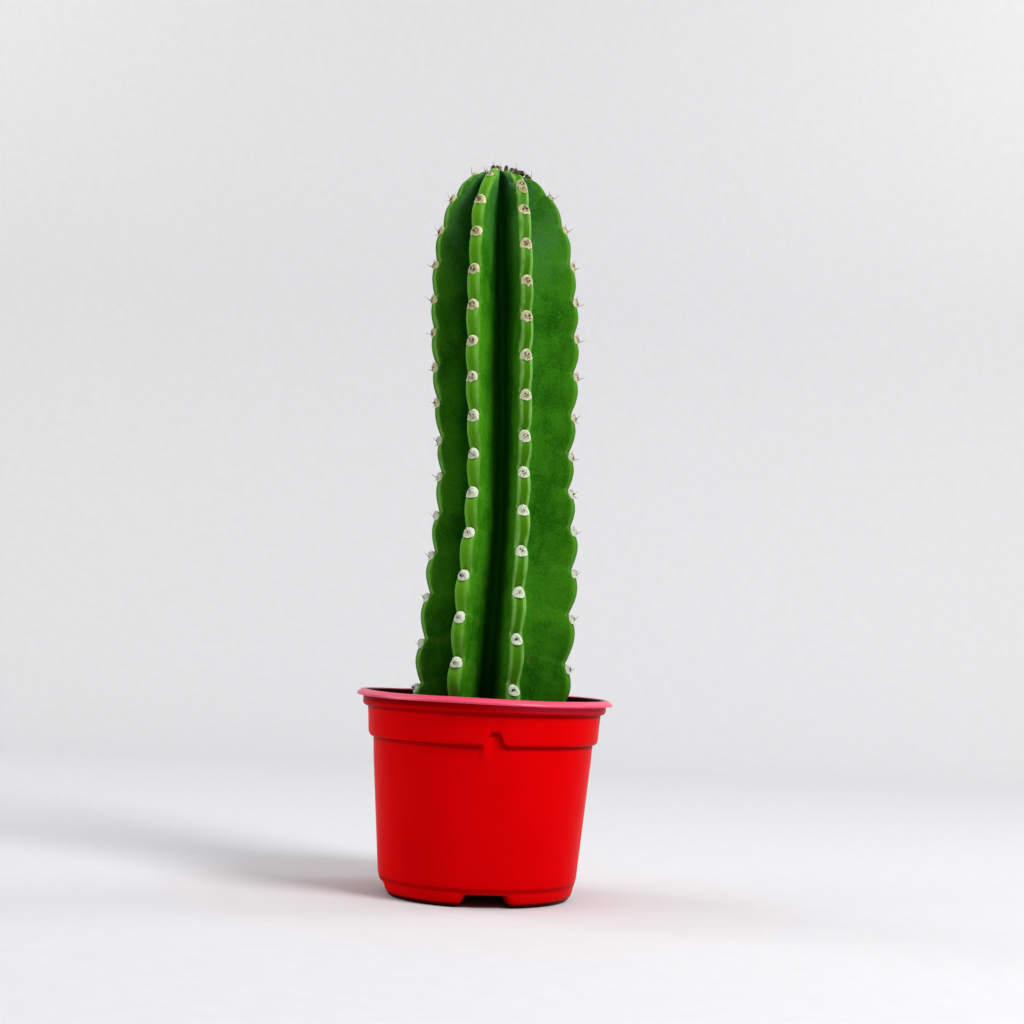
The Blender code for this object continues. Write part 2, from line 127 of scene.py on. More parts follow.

# Each rib: azimuth at the foot, distance from the tip to its first full areole, stretch of its spacing, and
# paleness of its crest, partly the rib's own tone and partly painted light: a paler crest on the rib turned
# to the left, and dimmer margins on the ribs seen from the side.
RIBS = (
    (-77.0, 35.5 * MM, 0.99, 0.4),
    (-30.0, 22.8 * MM, 1.0, 1.0),
    (15.0, 27.2 * MM, 1.02, 0.6),
    (76.0, 31.0 * MM, 1.05, 0.1),
    (127.0, 25.0 * MM, 1.01, 0.5),
    (178.0, 34.0 * MM, 1.0, 0.5),
    (230.0, 28.5 * MM, 1.02, 0.4),
)
AREOLES = 14
AREOLE_SPACING = 18.5 * MM
AREOLE_GROWTH = 1.0
AREOLE_GROWTH_POWER = 5
YOUNG_SHARES = (0.22, 0.5)
AREOLES_A_RIB = len(YOUNG_SHARES) + AREOLES
AREOLE_CLEARANCE = 5.8 * MM
NOTCH_TOP_DEPTH = 2.0 * MM
NOTCH_FOOT_DEPTH = 4.6 * MM
NOTCH_GROWTH_POWER = 1.5
NOTCH_FADE = 24.0 * MM
# Share by which the first rib's notches are shallower, and the distances where that starts, is full and ends.
SHALLOW_SHARE = 0.26
SHALLOW_FROM = (70 * MM, 105 * MM)
SHALLOW_TO = (225 * MM, 190 * MM)
NOTCH_TONES = (0.86, 1.16)
NORMAL_STEP = 1.5 * MM
NOTCH_LEAD = 0.15
SCALLOP_SKEW = 0.85
ROWS_A_SCALLOP = 20
ROW_POWER = 1.35
TIP_ROWS = 11
TIP_LEVEL_GAP = 0.06
PAD_REACH = 0.1
PAD_SINK = 0.3 * MM
PAD_LIFT = 0.65 * MM
PAD_BEND = 85.0

# How far each areole of a rib lies below its even place, in mm, from the tip down.
NUDGES = (
    (0.0, -2.6, 0.9, 1.6, 1.6, 1.4, 0.0, -0.3, -0.9, -0.2, -0.7, 0.0, 0.6, 1.3, 2.4, 0.3),
    (0.0, -0.8, -0.6, 0.0, -0.3, 0.9, 0.7, 0.3, -0.3, 0.3, 0.3, 0.5, 0.9, 1.9, 1.2, 0.1),
    (0.0, 3.6, 2.2, 0.0, 0.1, 0.4, -0.3, 0.3, 1.3, 2.5, 1.1, 0.3, 0.4, -0.4, 0.0, 0.0),
    (0.0, 0.3, 0.8, 0.3, 0.5, 0.0, -0.3, -0.1, 1.5, 1.9, 0.5, -0.8, -0.7, 0.1, 1.0, 0.3),
    (0.0, 0.4, 0.2, -0.5, 0.3, 0.9, -0.4, 0.2, 0.7, -0.6, 0.1, 0.8, -0.3, 0.4, 0.9, 0.0),
    (0.0, -0.3, 0.5, 0.8, -0.4, 0.3, 0.6, -0.7, 0.2, 0.4, 1.1, 0.0, 0.5, -0.6, 0.3, 0.2),
    (0.0, 0.5, -0.4, 0.2, 0.7, -0.3, 0.1, 0.9, -0.5, 0.6, 0.0, 0.7, 0.2, 0.9, -0.4, 0.1),
)
# Sideways wander of each rib, in mm, at these heights in mm.
WANDER_HEIGHTS = (90, 110, 130, 160, 190, 230, 270, 310, 330, 350, 359, 366, 372)
WANDERS = (
    (0.0, 0.2, 0.3, 0.1, -0.3, 0.2, 0.4, 0.3, 0.0, 0.0, 0.0, 0.0, 0.0),
    (0.9, 0.8, 0.1, -0.4, 0.4, 0.4, 0.0, 0.6, 1.5, 1.4, 3.6, 4.8, 0.6),
    (1.2, 0.8, -0.1, -1.3, -0.5, -0.2, -1.3, -1.2, -0.8, 0.5, 2.1, 2.3, 1.2),
    (0.0, 0.3, 0.4, 0.1, 0.0, -0.4, 0.3, 0.2, 0.2, 0.1, 0.0, 0.0, 0.0),
    (0.0, -0.4, -0.7, 0.2, 0.4, 0.9, 0.2, -0.3, 0.2, 0.0, 0.0, 0.0, 0.0),
    (0.0, 0.4, 0.6, 0.8, 0.7, -0.5, 0.2, -0.3, -0.2, 0.0, 0.0, 0.0, 0.0),
    (0.0, -0.3, -0.5, 0.1, 0.3, 0.7, 0.5, 0.3, 0.2, 0.1, 0.0, 0.0, 0.0),
)
WANDER_STEPS = (-6, -3, 0, 3, 6)
# How far the crest of the first rib falls short of the others' near the tip, in mm, at these heights in mm.
PULL_HEIGHTS = (300, 320, 333, 345, 356, 366, 371)
PULLS = (0.0, 0.4, 1.0, 1.9, 2.3, 2.0, 0.0)

# Areoles. PAD_RINGS are the rings of a felt pad as shares of its half width.
PAD_COLUMNS = 32
PAD_RINGS = (0.13, 0.25, 0.36, 0.46, 0.56, 0.66, 0.76, 0.85, 0.93, 0.98, 1.0)
PAD_ROOT_DEPTH = 1.6 * MM
# The areoles whose felt differs from the rest: (rib, number): share of the full size, and of brown.
NEW_AREOLES = {
    (0, 0): (0.34, 0.1), (0, 1): (0.55, 0.1), (1, 0): (0.5, 0.9), (1, 1): (0.6, 0.3), (1, 2): (0.68, 0.2),
    (2, 0): (0.5, 1.4), (2, 1): (0.8, 1.0), (2, 2): (0.98, 0.22), (3, 0): (0.62, 1.5), (3, 1): (0.7, 1.2),
    (3, 2): (0.86, 0.4),
}
# The same for the two youngest areoles of the other ribs, and for all the rest.
YOUNG_FELT = {0: (0.5, 0.8), 1: (0.8, 0.45)}
GROWN_FELT = (1.0, 0.06)
# Ribs on which the felt is short and thick, and how far painted shade greys its middle.
STOUT_SHADED_RIBS = {0: 0.35, 3: 1.0}
# A second pad grown together with an areole: rib, number, how far below it, and share of the full size.
TWIN = (2, 2, 4.4 * MM, 0.8)
# Each thin spine of an areole: lean from the pad's axis, direction of the lean round it from straight down,
# share of the full length, and how far below the pad's middle it grows, in mm.
SPINE_SETS = (
    ((9, 170, 0.95, 1.3), (50, -160, 0.5, 0.0), (58, 95, 0.4, 0.2)),
    ((5, 20, 0.85, 1.5), (56, 175, 0.6, 0.0), (60, -80, 0.4, 0.3)),
    ((14, -170, 1.0, 1.2), (62, 30, 0.55, 0.4), (60, 140, 0.6, 0.0)),
)
# The spines that face outwards show only as dark stubs in the felt: (sideways, up) in mm.
STUB_SPOTS = (((-1.0, 0.1), (0.95, -0.1)), ((-0.8, -0.5), (0.9, 0.2)), ((-0.9, 0.3), (0.6, -0.7)))

# Wool of the growing tip: azimuth, distance from the tip, lift, half width and half height in mm, and brown.
CROWN_TUFTS = (
    (-38, 6.4, 0.9, 1.5, 1.9, 1.6), (-22, 4.2, 1.3, 1.4, 1.7, 1.5), (2, 3.4, 1.0, 0.9, 2.0, 0.1),
    (40, 4.6, 1.4, 1.1, 2.1, 2.0), (60, 6.8, 1.0, 1.5, 1.7, 1.3), (58, 9.0, 0.7, 1.8, 1.7, 1.5),
    (70, 10.8, 0.6, 1.6, 1.5, 0.9), (62, 12.6, 0.5, 1.4, 1.3, 1.5), (76, 14.4, 0.3, 1.5, 1.2, 0.9),
    (128, 5.0, 0.4, 1.6, 1.5, 0.7), (176, 6.5, 0.4, 1.8, 1.5, 0.8), (232, 6.0, 0.4, 1.7, 1.5, 0.75),
)
TUFT_HAIRS = 60
# First spines of the tip: azimuth and distance of the root, lean towards +X and length, in mm and degrees.
CROWN_SPINES = (
    (-34, 7.0, -12, 5.2), (-14, 5.0, 14, 4.8), (36, 5.0, 8, 3.0), (-60, 9.0, -30, 3.6),
    (128, 6.0, 20, 4.0), (180, 8.0, -6, 4.2), (232, 8.0, -24, 4.0),
)
# The lone spine of the first rib's second areole: its root beside the areole, and its way and bend, in mm.
LONE_SPINE = ((0, 1), (-1.4, 0, 0), (-0.4, 0, 4.6), (-0.1, 0, 0))

# Pot sheet, as in the part.
SHEET = 0.9 * MM
FLOOR_HEIGHT = 7.0 * MM
LEDGE_HEIGHT = 77.9 * MM
LEDGE_RISE = 6.2 * MM
POT_TURN = 3.2
FEATURES = 4
FRONT_AND_BACK = 0.7
DRAIN_RADIUS = 3.2 * MM
DRAIN_CIRCLE = 40.5 * MM
DRAIN_SIDES = 40
DRAIN_CUT = 8.0 * MM
SHARP_ANGLE = 40.0
LIP_FOOT = 95.0 * MM
LIP_RADIUS = 61.95 * MM
# Steps of a rounded corner, the longest step of a straight in mm, and the heights in mm between which the
# lip's bend sets in.
CORNER_STEPS = 4
LONGEST_STRAIGHT = 3.4
LIP_BEND_HEIGHTS = (94.5, 98.0)
# Corners of the sheet's foot, then of its rim: radius, height and rounding of its middle, in mm.
HEEL = ((48.75, 7.5, 0.2), (48.3, 3.6, 2.0), (46.4, 1.0, 1.0), (45.4, 0.45, 0.4), (41.4, 0.45, 0.5))
RIM = ((64.6, 97.5, 0.0), (64.6, 98.2, 0.6), (62.4, 99.9, 0.9), (61.4, 99.95, 0.5), (61.4, 94.2, 1.0))
# How far the thin lip is bent up round the pot, in mm, at these azimuths from its first feature.
LIP_AZIMUTHS = (-180, -135, -90, -60, -45, -17, -5, 26, 50, 90, 135, 180)
LIP_RISES = (0.55, 0.6, 1.45, 0.85, 0.6, 0.7, 0.6, 0.08, 0.1, 0.2, 0.5, 0.55)

# Potting mix. SOIL_SIDE is its side below the top, as radius and height in mm.
SOIL_TOP = 89.0 * MM
SOIL_RADIUS = 57.1
SOIL_ROWS = 26
SOIL_SIDE = (
    (0.985 * SOIL_RADIUS, 86.0), (56.9, 87.0), (54.0, 84.0), (54.0, 77.0), (48.4, 10.0), (41.0, 8.2),
)
SOIL_FLOOR = 8.2 * MM
PIT_FLOOR = 58.0 * MM
HOLE_SLACK = 0.35 * MM
# Roughness of its top: height in mm, size of the lumps in mm, and seed.
SOIL_LUMPS = ((0.9, 9.0, 1), (0.75, 3.6, 2), (0.4, 1.5, 6))
# Radii of crumbs and grit in mm, and the share of the crumbs that are bark, with how much larger it is.
CLOD_RADII = (0.45, 1.1)
GRIT_RADII = (0.35, 0.8)
BARK_SHARE = 0.12
BARK_SIZE = 1.8

# Camera: pitch, roll and yaw in degrees. Lights: name, place, aim, size, power and colour.
CAMERA_TURN = (4.25, 2.57, 0.61)
LIGHTS = (
    ("key", (0.98, -0.82, 1.2), (0.0, 0.0, 0.2), (0.6, 0.6), 23.5, (1.0, 1.0, 1.0)),
    ("side", (-1.4, -0.3, 0.6), (0.0, 0.0, 0.2), (0.8, 0.8), 6.5, (1.0, 1.0, 1.0)),
    ("top", (0.1, -0.15, 1.5), (0.0, 0.0, 0.1), (1.1, 0.6), 3.5, (0.86, 0.88, 1.0)),
    ("wash_left", (-1.3, 0.55, 1.5), (-0.3, 1.6, 0.4), (0.9, 0.9), 11.6, (1.0, 1.0, 1.0)),
    ("wash_right", (1.3, 0.55, 1.5), (0.3, 1.6, 0.4), (0.9, 0.9), 11.6, (1.0, 1.0, 1.0)),
)
WORLD_COLOUR = (1.0, 0.995, 0.99, 1.0)
WORLD_STRENGTH = 0.26


def colour_property(name, description, colour):
    return bpy.props.FloatVectorProperty(
        name=name, description=description, default=colour, size=3, subtype="COLOR", min=0.0, max=1.0
    )


def length_property(name, description, length, least=0.0):
    return bpy.props.FloatProperty(
        name=name, description=description, default=length, unit="LENGTH", min=least
    )


def count_property(name, description, count, least=0, most=10000):
    return bpy.props.IntProperty(name=name, description=description, default=count, min=least, max=most)


class StemSettings(bpy.types.PropertyGroup):
    flank_green: colour_property("Flank green", "Mid green of the rib flanks", (0.050, 0.210, 0.008))
    deep_green: colour_property("Deep green", "Darker mottling of the flanks", (0.017, 0.118, 0.002))
    crest_green: colour_property("Crest green", "Yellow-green of the rib crests", (0.055, 0.175, 0.003))
    # The pale crest is partly the rib's own tone and partly painted light on the rib turned to the left.
    pale_crest: colour_property("Pale crest", "Crest of the rib bleached by the sun", (0.105, 0.300, 0.010))
    # The margin green is partly the skin's own pale edge and partly a painted sheen along the crest.
    margin_green: colour_property("Margin green", "Pale green beside a crest", (0.175, 0.370, 0.085))
    speck_green: colour_property("Speck green", "Light specks of the flanks", (0.085, 0.260, 0.030))
    # Painted shade deep in the valleys between ribs.
    painted_valley_shade: colour_property("Valley green", "Dark green deep between two ribs", (0.004, 0.072, 0.003))
    bloom: colour_property("Bloom", "Bluish wax on the young growth", (0.072, 0.165, 0.085))
    cork: colour_property("Cork", "Corky skin at the foot of the ribs", (0.170, 0.110, 0.030))
    relief: length_property("Relief", "Height of the skin's uneven swell", 0.3 * MM)
    groove: length_property("Groove", "Depth of the shallow channel along a crest", 0.35 * MM)


class AreoleSettings(bpy.types.PropertyGroup):
    pad_width: length_property("Pad width", "Width of a grown felt pad", 6.7 * MM, 1 * MM)
    pad_height: length_property("Pad height", "Height of a grown felt pad", 6.6 * MM, 1 * MM)
    pad_depth: length_property("Pad depth", "How far the felt stands out", 1.8 * MM, 0.5 * MM)
    fibres: count_property("Fibres", "Loose felt hairs on each pad", 100, most=200)
    spine_length: length_property("Spine length", "Length of the longer spines", 4.0 * MM, 0.5 * MM)
    spine_radius: length_property("Spine radius", "Radius of a spine near its root", 0.17 * MM)
    young_felt: colour_property("Young felt", "Felt of the upper areoles", (0.60, 0.58, 0.33))
    old_felt: colour_property("Old felt", "Felt of the lower areoles", (0.64, 0.72, 0.56))
    brown_felt: colour_property("Brown felt", "Felt of the newest areoles", (0.032, 0.023, 0.004))
    spine_root: colour_property("Spine root", "Colour of a spine at its root", (0.030, 0.012, 0.006))
    spine_shaft: colour_property("Spine shaft", "Colour of a spine's middle", (0.150, 0.120, 0.085))


class PotSettings(bpy.types.PropertyGroup):
    colour: colour_property("Plastic", "Colour of the pot", (0.640, 0.000, 0.002))
    # Painted highlight: the pale pink of the lip where light falls on it.
    lip_highlight: colour_property("Lip tone", "Pale pink of the thin lip in the light", (0.62, 0.110, 0.24))
    # Inside the rim: partly potting mix that clings there, partly painted shade.
    inside_mix_and_shade: colour_property("Inside tone", "Potting mix that clings inside", (0.012, 0.004, 0.003))
    roughness: bpy.props.FloatProperty(
        name="Roughness", description="Roughness of the moulded plastic", default=0.34, min=0.0, max=1.0,
        subtype="FACTOR",
    )
    columns: count_property("Columns", "Steps round the pot, a multiple of 72", 288, 72, 360)


class SoilSettings(bpy.types.PropertyGroup):
    dark: colour_property("Dark soil", "Damp peat", (0.016, 0.010, 0.007))
    light: colour_property("Light soil", "Dry crumbs", (0.085, 0.055, 0.034))
    clods: count_property("Clods", "Loose crumbs on the soil", 620)
    grit: count_property("Grit", "Pale mineral grains in the soil", 46)


class StageSettings(bpy.types.PropertyGroup):
    backdrop: colour_property("Backdrop", "Colour of the floor and backdrop", (0.575, 0.575, 0.58))
    camera_distance: length_property("Camera distance", "From the pot's axis to the camera", 0.9)
    camera_height: length_property("Camera height", "Of the camera above the floor", 0.1279)
    camera_lens: bpy.props.FloatProperty(
        name="Lens", description="Focal length on a sensor 36 mm wide", default=36.0 * 1754 / 1024,
        unit="CAMERA",
    )


# shared


def seeded(name):
    return np.random.default_rng(SEEDS[name])


def smooth(low, high, value):
    """Smoothstep from 0 at low to 1 at high."""
    share = np.clip((value - low) / (high - low), 0.0, 1.0)
    return share * share * (3 - 2 * share)


def peak(value, middle, width):
    """A soft bump, 1 at the middle."""
    return np.exp(-(((value - middle) / width) ** 2))


def lattice_noise(points, scale, seed=0):
    """Smooth noise from -1 to 1 at points (n, 3), with features about scale across."""
    spot = points / scale + 11.37 * (seed + 1)
    cell = np.floor(spot).astype(np.int64)
    part = smooth(0, 1, spot - cell)
    total = np.zeros(len(points))
    for corner in np.ndindex(2, 2, 2):
        key = np.bitwise_xor.reduce((cell + corner) * (73856093, 19349663, 83492791), axis=1)
        key = (key ^ (seed * 2654435761)) & 0xFFFFFFFF
        key = (key ^ (key >> 15)) * 2246822519 & 0xFFFFFFFF
        key = (key ^ (key >> 13)) * 3266489917 & 0xFFFFFFFF
        value = (key ^ (key >> 16)) / 0xFFFFFFFF * 2 - 1
        total += np.prod(np.where(np.array(corner, bool), part, 1 - part), axis=1) * value
    return total


def grid_faces(rows, columns, start=0, top=None, foot=None):
    """Faces of a grid that closes on itself, outward for rows that run down, and of the fans at its ends."""
    row, column = np.meshgrid(np.arange(rows - 1), np.arange(columns), indexing="ij")
    low, after = start + row * columns, (column + 1) % columns
    quads = [low + column, low + columns + column, low + columns + after, low + after]
    faces = np.stack(quads, -1).reshape(-1, 4).tolist()
    last = start + (rows - 1) * columns
    for i in range(columns):
        j = (i + 1) % columns
        if top is not None:
            faces.append([top, start + i, start + j])
        if foot is not None:
            faces.append([foot, last + j, last + i])
    return faces


@functools.cache
def cone_faces(steps, sides):
    """Faces of a cone of rings that run up to its tip, which is its last point."""
    upwards = [face[::-1] for face in grid_faces(steps, sides, foot=steps * sides)]
    return [list(reversed(range(sides)))] + upwards


def mesh_of(name, points, faces, attributes=()):
    """A mesh from an array of points, with named vector attributes on its points."""
    mesh = bpy.data.meshes.new(name)
    mesh.from_pydata(np.asarray(points, float).tolist(), [], faces)
    for label, values in attributes:
        layer = mesh.attributes.new(label, "FLOAT_VECTOR", "POINT")
        layer.data.foreach_set("vector", np.asarray(values, np.float32).ravel())
    mesh.shade_smooth()
    mesh.update()
    return mesh


def point_values(mesh, name):
    values = np.zeros(len(mesh.vertices) * 3, np.float32)
    mesh.vertices.foreach_get(name, values)
    return values.reshape(-1, 3).astype(float)


def transformed(matrix, points):
    return np.asarray(points) @ np.array(matrix.to_3x3()).T + np.array(matrix.translation)


def place_piece(name, mesh, slot, *nodes):
    """Links a mesh as a piece that rides on the root body and stands for the given nodes."""
    piece = bpy.data.objects.new(name, mesh)
    bpy.context.scene.collection.objects.link(piece)
    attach(piece, "root")
    if nodes:
        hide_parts(*nodes)
    return piece


class Heap:
    """Points, faces and tints of many like things that make one mesh."""

    def __init__(self):
        self.points, self.faces, self.tints, self.count = [], [], [], 0

    def add(self, points, faces, tints):
        self.faces += [[index + self.count for index in face] for face in faces]
        self.points.append(points)
        self.tints.append(np.broadcast_to(tints, (len(points), 3)))
        self.count += len(points)

    def add_cone(self, ends, radius, sides, tint, bend=(0, 0, 0), steps=1, taper=0.92):
        """A tapered hair or spine between two ends, bent by a vector at its middle.

        A tint of two values gets the share of the way along as its third.
        """
        root, tip = ends
        along = (tip - root) / np.linalg.norm(tip - root)
        first = np.cross(along, [1.0, 0, 0] if abs(along[0]) < 0.8 else [0, 1.0, 0])
        first /= np.linalg.norm(first)
        second = np.cross(along, first)
        share = np.arange(steps)[:, None, None] / steps
        turn = 2 * math.pi * np.arange(sides)[:, None] / sides
        centre = root + (tip - root) * share + np.asarray(bend) * np.sin(math.pi * share)
        rings = centre + radius * (1 - share**1.4 * taper) * (np.cos(turn) * first + np.sin(turn) * second)
        shares = np.append(np.repeat(np.arange(steps) / steps, sides), 1.0)
        third = shares if len(tint) < 3 else 0 * shares + tint[2]
        tints = np.column_stack([0 * shares + tint[0], 0 * shares + tint[1], third])
        self.add(np.concatenate([rings.reshape(-1, 3), [tip]]), cone_faces(steps, sides), tints)

    def mesh(self, name):
        tints = np.concatenate(self.tints)
        return mesh_of(name, np.concatenate(self.points), self.faces, [("tint", tints)])


# stem


def crest_radius_at(height):
    """Radius of the rib crests below the dome, with the narrow waist at mid-height."""
    waist = WAIST_DEPTH * peak(height, WAIST_HEIGHT, WAIST_SPREAD)
    return FOOT_CREST_RADIUS - CREST_TAPER * (height - FOOT_CREST_HEIGHT) - waist


def crest_line():
    """Distance from the tip, radius and height of close points along a crest, from the tip down."""
    turn = np.linspace(math.pi / 2, 0.0, CREST_POINTS)
    dome_radius = crest_radius_at(DOME_BASE) * np.cos(turn) ** DOME_SIDE_POWER
    dome_radius[0] = 0.0
    dome_height = DOME_BASE + (TIP_HEIGHT - DOME_BASE) * np.sin(turn) ** DOME_RISE_POWER
    column_height = np.linspace(DOME_BASE, STUMP_TOP, CREST_POINTS)[1:]
    radius = np.concatenate([dome_radius, crest_radius_at(column_height)])
    height = np.concatenate([dome_height, column_height])
    steps = np.hypot(np.diff(radius), np.diff(height))
    return np.concatenate([[0.0], np.cumsum(steps)]), radius, height


CREST_DISTANCE, CREST_RADII, CREST_HEIGHTS = crest_line()
CREST_LENGTH = float(CREST_DISTANCE[-1])


def crest_at(distance):
    """(radius, height) of the crest at distances from the tip."""
    radius = np.interp(distance, CREST_DISTANCE, CREST_RADII)
    return radius, np.interp(distance, CREST_DISTANCE, CREST_HEIGHTS)


def crest_normal(distance):
    """Outward normal of the crest line, as (radial, upward)."""
    above = crest_at(np.maximum(distance - NORMAL_STEP, 0.0))
    below = crest_at(np.minimum(distance + NORMAL_STEP, CREST_LENGTH))
    radial, upward = below[0] - above[0], below[1] - above[1]
    size = np.hypot(radial, upward)
    return -upward / size, radial / size


def lean_at(height):
    """Sideways offset of the stem's axis, towards +X."""
    above = np.maximum(height - LEAN_HEIGHT, 0.0) / (TIP_HEIGHT - LEAN_HEIGHT)
    below = np.maximum(LEAN_HEIGHT - height, 0.0) / LEAN_SPAN_BELOW
    return LEAN_MOST - LEAN_FALL_ABOVE * above**LEAN_POWER_ABOVE - LEAN_FALL_BELOW * below**LEAN_POWER_BELOW


def twist_at(height):
    """Turn of the ribs round the axis, in degrees."""
    return TWIST * smooth(TWIST_FROM, TWIST_TO, height)


def placed(azimuth, radial, sideways, height):
    """World points from a rib's own directions: outwards, sideways towards higher azimuths, and up."""
    angle = np.radians(azimuth + twist_at(height))
    x = radial * np.sin(angle) + sideways * np.cos(angle)
    y = -radial * np.cos(angle) + sideways * np.sin(angle)
    return np.stack([x + lean_at(height), y, height + 0 * x], -1)


def areole_distances(rib):
    """Distances from the tip to the rib's young areoles and then to its full ones."""
    _, first, stretch, _ = RIBS[rib]
    distances = [first * share for share in YOUNG_SHARES] + [first]
    while len(distances) < AREOLES_A_RIB:
        growth = 1 + AREOLE_GROWTH * (distances[-1] / CREST_LENGTH) ** AREOLE_GROWTH_POWER
        distances.append(distances[-1] + AREOLE_SPACING * stretch * growth)
    return [distance + nudge * MM for distance, nudge in zip(distances, NUDGES[rib])]


def pull_at(rib, height):
    """How far a rib's crest is pulled in from the common crest line. Only the first rib's is."""
    return np.interp(height / MM, PULL_HEIGHTS, PULLS) * MM * (rib == 0)


def wander_at(rib, height):
    """Sideways offset of a rib's line from its azimuth, smooth between the given heights."""
    near = [np.interp(height / MM + step, WANDER_HEIGHTS, WANDERS[rib]) for step in WANDER_STEPS]
    return sum(near) / len(near) * MM


def scallop(share):
    """0 in the notch just above an areole, and 1 where the shoulder below it stands out most."""
    return np.sin(math.pi * np.clip(share, 0.0, 1.0) ** SCALLOP_SKEW)


def notch_depth(rib, distance):
    """Depth of the notches above the areoles: deepest near the foot, less at mid-height of the first rib."""
    share = (distance / CREST_LENGTH) ** NOTCH_GROWTH_POWER
    grown = NOTCH_TOP_DEPTH + (NOTCH_FOOT_DEPTH - NOTCH_TOP_DEPTH) * share
    if rib == 0:
        grown = grown * (1 - SHALLOW_SHARE * smooth(*SHALLOW_FROM, distance) * smooth(*SHALLOW_TO, distance))
    return grown * (1 - np.exp(-distance / NOTCH_FADE))


def valley_share_at(distance):
    """Radius of the valleys as a share of the crests' radius."""
    return VALLEY_SHARE + TIP_VALLEY_SHARE * np.exp(-distance / TIP_VALLEY_FADE)


def stem_levels():
    """Level of each row of the skin: -1 at the tip, a whole number at each areole, then the buried end."""
    run = 1 - TIP_LEVEL_GAP - NOTCH_LEAD
    levels = [-1 + TIP_LEVEL_GAP + run * (row / TIP_ROWS) for row in range(TIP_ROWS)]
    steps = [(row / ROWS_A_SCALLOP) ** ROW_POWER for row in range(ROWS_A_SCALLOP)]
    for areole in range(AREOLES_A_RIB):
        levels += [areole - NOTCH_LEAD + step for step in steps]
    return np.array(levels + [AREOLES_A_RIB - 1e-6])


def rib_rows(rib, levels, tone):
    """Distance, share of the way from notch to notch, and inset of the crest, for each row of a rib."""
    knots = np.array([0.0] + areole_distances(rib) + [CREST_LENGTH])
    below = np.floor(levels).astype(int) + 1
    following = knots[np.minimum(below + 1, len(knots) - 1)]
    distance = knots[below] + (following - knots[below]) * (levels - below + 1)
    last = len(knots) - 2
    pitch = knots[last] - knots[last - 1]
    past = np.where(below == last, last - 1 + (distance - knots[last]) / pitch, levels) + NOTCH_LEAD
    notch = np.minimum(np.floor(past), last - 1).astype(int)
    share = np.clip(past - notch, 0.0, 1.0)
    depth = notch_depth(rib, distance) * (tone[rib][notch + 1] * (1 - share) + tone[rib][notch + 2] * share)
    return distance, share, depth * (1 - scallop(share))


def section_half(crest, half_gap, valley_share, widen, groove):
    """Points from beside the crest to before the valley, (rows, points).

    They are the radial and sideways places. After them come the share of the way to the valley and the place
    across the rib, which is 1 at the edge of the nose and 2 in the valley, as one row each.
    """
    angle = math.radians(half_gap)
    width = np.minimum(NOSE_HALF_WIDTH, NOSE_ROOM * crest * math.sin(angle))
    size = width / NOSE_HALF_WIDTH
    width = width * widen
    depth = NOSE_DEPTH * size
    valley = np.stack([math.cos(angle) * valley_share * crest, math.sin(angle) * valley_share * crest])
    shoulder = np.stack([crest - depth, width])
    reach = (shoulder[0] - valley[0]) / 2
    curve = (
        shoulder,
        shoulder + np.stack([-reach, FLANK_SWELL * size * size]),
        valley + np.array([[math.sin(angle)], [-math.cos(angle)]]) * VALLEY_ROUND * size,
        valley,
    )
    side = np.sin(np.radians(NOSE_TURNS)) ** NOSE_SIDE_POWER
    flat = np.cos(np.radians(NOSE_TURNS)) ** NOSE_TOP_POWER
    bead = (groove * size)[:, None] * peak(side, 0, GROOVE_WIDTH)
    nose = crest[:, None] - depth[:, None] * (1 - flat) - bead
    rest = 1 - FLANK_POINTS
    weights = (rest**3, 3 * rest**2 * FLANK_POINTS, 3 * rest * FLANK_POINTS**2, FLANK_POINTS**3)
    flank = sum(weight * anchor[..., None] for weight, anchor in zip(weights, curve))
    nose_shares = NOSE_SHARE * np.maximum(0.0, (NOSE_TURNS - 45) / 45)
    shares = np.append(nose_shares, NOSE_SHARE + (1 - NOSE_SHARE) * FLANK_POINTS**0.85)
    across = np.append(side, 1 + FLANK_POINTS)
    return np.hstack([nose, flank[0]]), np.hstack([width[:, None] * side, flank[1]]), shares, across


Rib = namedtuple("Rib", "number azimuth radius height share inset fall valley_share")


